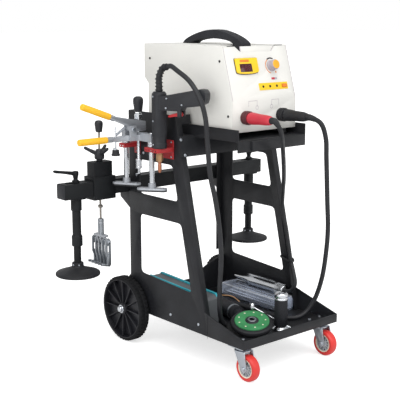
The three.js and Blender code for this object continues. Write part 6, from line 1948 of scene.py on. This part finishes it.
@dataclass
class TrayTools:
    """The accessories in the base tray."""

    bottle: Flat = (7.0, -454.0)
    disc: Flat = (-66.0, -411.0)
    disc_lean: float = 40.6
    disc_tilt: float = 15.0
    pad_radius: float = 61.0

    def build(self) -> None:
        """Makes every accessory."""
        self.handle_weight()
        self.sanding_disc()
        self.polisher()
        self.tool_box()
        self.tubes()
        self.earth_clamp()
        self.loose_tools()

    def handle_weight(self) -> None:
        """Makes the upright tool with the knurled black body and chrome ends."""
        at = (*self.bottle, TRAY_FLOOR)
        body = Shape().turned(section(0, 18.2, 13, 90), at, soft=0.5, sides=64)
        rib = brick((17.6, -0.7, 14), (19, 0.7, 89), 0.35)
        body.ring_of(rib, 40, Matrix.Translation(at), PLASTIC)
        body.piece("weight_body", PLASTIC, node="tray_bottle")
        base = [(0, 0), (23.4, 0), (24, 0.8), (24, 4.2), (21, 6.4), (14.5, 12), (13.4, 13.4), (0, 13.4)]
        top = [(0, 89.6), (19, 89.6), (19, 93), (18, 94), (18, 98), (19, 99), (19, 105.6), (15.4, 109.6), (0, 110)]
        metal = Shape().turned(base, at, soft=0.8, sides=64)
        metal.turned(top, at, soft=0.9, sides=64)
        metal.turned([(0, 109.4), (7, 109.4), (7, 110.6), (0, 111)], at, soft=0.3)
        metal.piece("weight_metal", CHROME)

    def disc_frame(self) -> Matrix:
        """Gives the disc's own frame, tipped towards the front left."""
        tilt = math.radians(self.disc_tilt)
        turn = Matrix.Rotation(math.radians(-self.disc_lean), 4, "Z") @ Matrix.Rotation(tilt, 4, "X")
        return Matrix.Translation((*self.disc, TRAY_FLOOR + self.pad_radius * math.sin(tilt))) @ turn

    def sanding_disc(self) -> None:
        """Makes the rubber pad with its green abrasive ring and black flange."""
        place = self.disc_frame()
        pad = Shape(place).turned(
            [(9, 0), (55, 0), (59.4, 1.6), (61, 5), (61, 11), (59.4, 14.6), (55.4, 16), (50.2, 16.2), (9, 16.2)],
            soft=1.6, sides=96,
        )
        bead = lathe(section(58.6, 61.2, 0, 1.2), sides=80, soft=0.3)
        bead.transform(Matrix.Translation((0, 0, 7.4)))
        pad.add(bead).piece("disc_pad", RUBBER, "disc", "tray_disc")
        ring = [(14, 15.6), (50, 15.6), (49.4, 19.4), (47.6, 20.6), (30, 20.2), (16, 18.4)]
        green = Shape(place).turned(ring, soft=0.7, sides=96)
        green.piece("disc_abrasive", GREEN, "disc")
        fleck = brick((36.5, -2.2, 20.0), (40.5, 2.2, 20.75), 0.2)
        Shape(place).ring_of(fleck, 9, Matrix.Identity(4), CREAM).piece("disc_marks", CREAM, "disc")
        flange = Shape(place).turned(
            [(9, 16), (19.6, 16), (19.6, 19.4), (17.6, 20.8), (16.4, 21.4), (9, 21.4)], soft=0.6, sides=64
        )
        flange.piece("disc_flange", PLASTIC, "disc")
        ring = [(7.6, 20.2), (12.4, 20.2), (12.4, 22.6), (11.6, 23.4), (7.6, 23.4)]
        Shape(place).turned(ring, soft=0.5, sides=48).piece("disc_nut", HOOK_STEEL, "disc")

    def polisher(self) -> None:
        """Makes the air polisher that carries the disc."""
        cleaned("tray_polisher", "polisher_body", PLASTIC, 1.2)
        rear, front = Vector((-8, -196, 124.3)), Vector((-36, -318, 124.3))
        along = (front - rear).normalized()
        band = Shape()
        for share in (0.1, 0.82):
            start = rear.lerp(front, share)
            band.bar(tuple(start), tuple(start + along * 7), 23.5, sides=56, soft=0.8)
        band.piece("polisher_bands", HOOK_STEEL)

    def tool_box(self) -> None:
        """Makes the long box with its grey lid, teal edges and catches."""
        turn = Matrix.Translation((-149, 0, 0)) @ Matrix.Rotation(math.radians(3), 4, "Z")
        shell_half, edge_half = 25.9, 26.0
        outline = [(-62, TRAY_FLOOR), (-62, 202), (-71, 210.6), (-309, 194.6), (-318, 186), (-318, TRAY_FLOOR)]
        box = Shape(turn).filled(outline, -shell_half, shell_half, axis=Axis.X, soft=1.6, corner=3.0)
        box.piece("box_shell", BOX_GREY, node="tray_tool_box")
        rails = Shape(turn)
        for sign in (-1, 1):
            edge = [
                (-66, 206.0), (-72, 214.6), (-308, 198.8), (-315, 189.8), (-315, 184), (-306, 192.6), (-73, 208.2),
                (-66, 199),
            ]
            side = sorted((sign * (edge_half - 7), sign * (edge_half + 0.3)))
            rails.filled(edge, side[0], side[1], axis=Axis.X, soft=0.9)
            band = [(-63, 160), (-63, 172), (-317, 158), (-317, 146)]
            side = sorted((sign * (edge_half - 0.6), sign * (edge_half + 0.5)))
            rails.filled(band, side[0], side[1], axis=Axis.X, soft=0.3)
        for y in (-120, -250):
            z = 206 + (y + 66) * 0.068
            rails.brick((-26.6, y - 12, z - 22), (-24, y + 12, z + 3.4), 0.8)
            rails.brick((-26, y - 12, z + 0.2), (26, y - 4, z + 3.0), 0.6)
        rails.piece("box_rails", TEAL)

    def tubes(self) -> None:
        """Makes the clear case with its rods, its pale ends, and pale strips along its top edges that are painted
        highlights.
        """
        cleaned("tray_tube_case", "tube_case_shell", TUBE_CLEAR, 0.6)
        rods = Shape()
        for k, x in enumerate((118, 130, 143, 155)):
            rods.bar((x, -338 + 6 * k, 116 + 3 * (k % 2)), (x, -96 - 9 * (k % 3), 116 + 3 * (k % 2)), 4.0, sides=20)
        rods.piece("tube_case_rods", CHROME)
        end = Shape()
        for y in (-339.5, -92.5):
            end.brick((104.8, y - 1.4, 105.0), (169.2, y + 1.4, 141.5), 0.8)
        # Pale strips along the case's top edges: painted highlights on the clear plastic.
        for x in (104.6, 169.4):
            end.brick((x - 0.9, -339, 139.6), (x + 0.9, -93, 142.4), 0.5)
        end.piece("tube_case_ends", PALE_END_AND_HIGHLIGHT)
        ribs = brick((104.6, 0, 141.0), (169.4, 1.4, 142.2), 0.4)
        ribs.transform(Matrix.Translation((0, -338, 0)))
        Shape().row_of(ribs, 9, (0, 30.0, 0), TUBE_CLEAR).piece("tube_case_ribs", TUBE_CLEAR)

    def earth_clamp(self) -> None:
        """Makes the long-nosed earth clamp on the case."""
        at = (155, -100, 158.6)
        body = Shape().turned(
            [(0, 0), (3.2, 0), (4, 1.4), (5.4, 24), (8, 42), (10.6, 52), (15, 76), (15.4, 110), (14.6, 150),
             (16.2, 192), (17, 200), (17, 222), (15.4, 226), (0, 226)],
            at, Axis.FRONT, soft=2.2, sides=56,
        )
        knurl = brick((16.2, -0.55, 193), (17.6, 0.55, 221), 0.25)
        body.ring_of(knurl, 38, Axis.FRONT.at(at), CHROME)
        body.piece("clamp_body", CHROME, node="earth_clamp")
        for name, finish, half, z in (("clamp_stripe", RED, 3.0, 172.5), ("clamp_slot", DARK_STEEL_AND_SHADE, 7.0, 174.6)):
            strip = Shape().brick((150 - half / 2, -286, z - 4), (150 + half / 2, -196, z + 0.4), 0.5)
            strip.piece(name, finish)
        outline = [(-150, 172), (-166, 176.4), (-262, 177.4), (-284, 174), (-262, 173.4), (-166, 172)]
        lever = Shape().filled(outline, 158, 166, axis=Axis.X, soft=0.9, corner=3.0)
        lever.piece("clamp_lever_bar", CHROME)

    def loose_tools(self) -> None:
        """Makes the small things between the larger ones."""
        rod = Shape().bar((-30, -372, 158), (28, -474, 106), 2.0, sides=20)
        rod.bar((-40, -386, 158), (-20, -358, 158), 4.6, sides=28)
        rod.bar((-34, -380, 152), (-30, -374, 166), 6.0, sides=28)
        rod.piece("t_handle_tool", CHROME)
        path = smooth_path([(-46, -206, 150), (-20, -230, 156), (8, -250, 151), (16, -272, 138)], 4.0)
        Shape().add(tube(path, [1.6] * len(path), 12)).piece("brass_wire_tool", BRASS)


def main() -> None:
    """Builds everything in order and reports it."""
    logging.basicConfig(level=logging.INFO, format="%(message)s")
    parts = [
        Studio(), Cables(), Trolley(), *(RearWheel(side) for side in Side), *(Castor(side) for side in Side),
        Welder(), Gun(), HandPuller(), Beam(), Leg("near", -362.0, 180.0), Leg("far", 330.0, -60.0), TrayTools(),
    ]
    for part in parts:
        LOG.info("building %s", type(part).__name__)
        part.build()


if __name__ == "__main__":
    main()
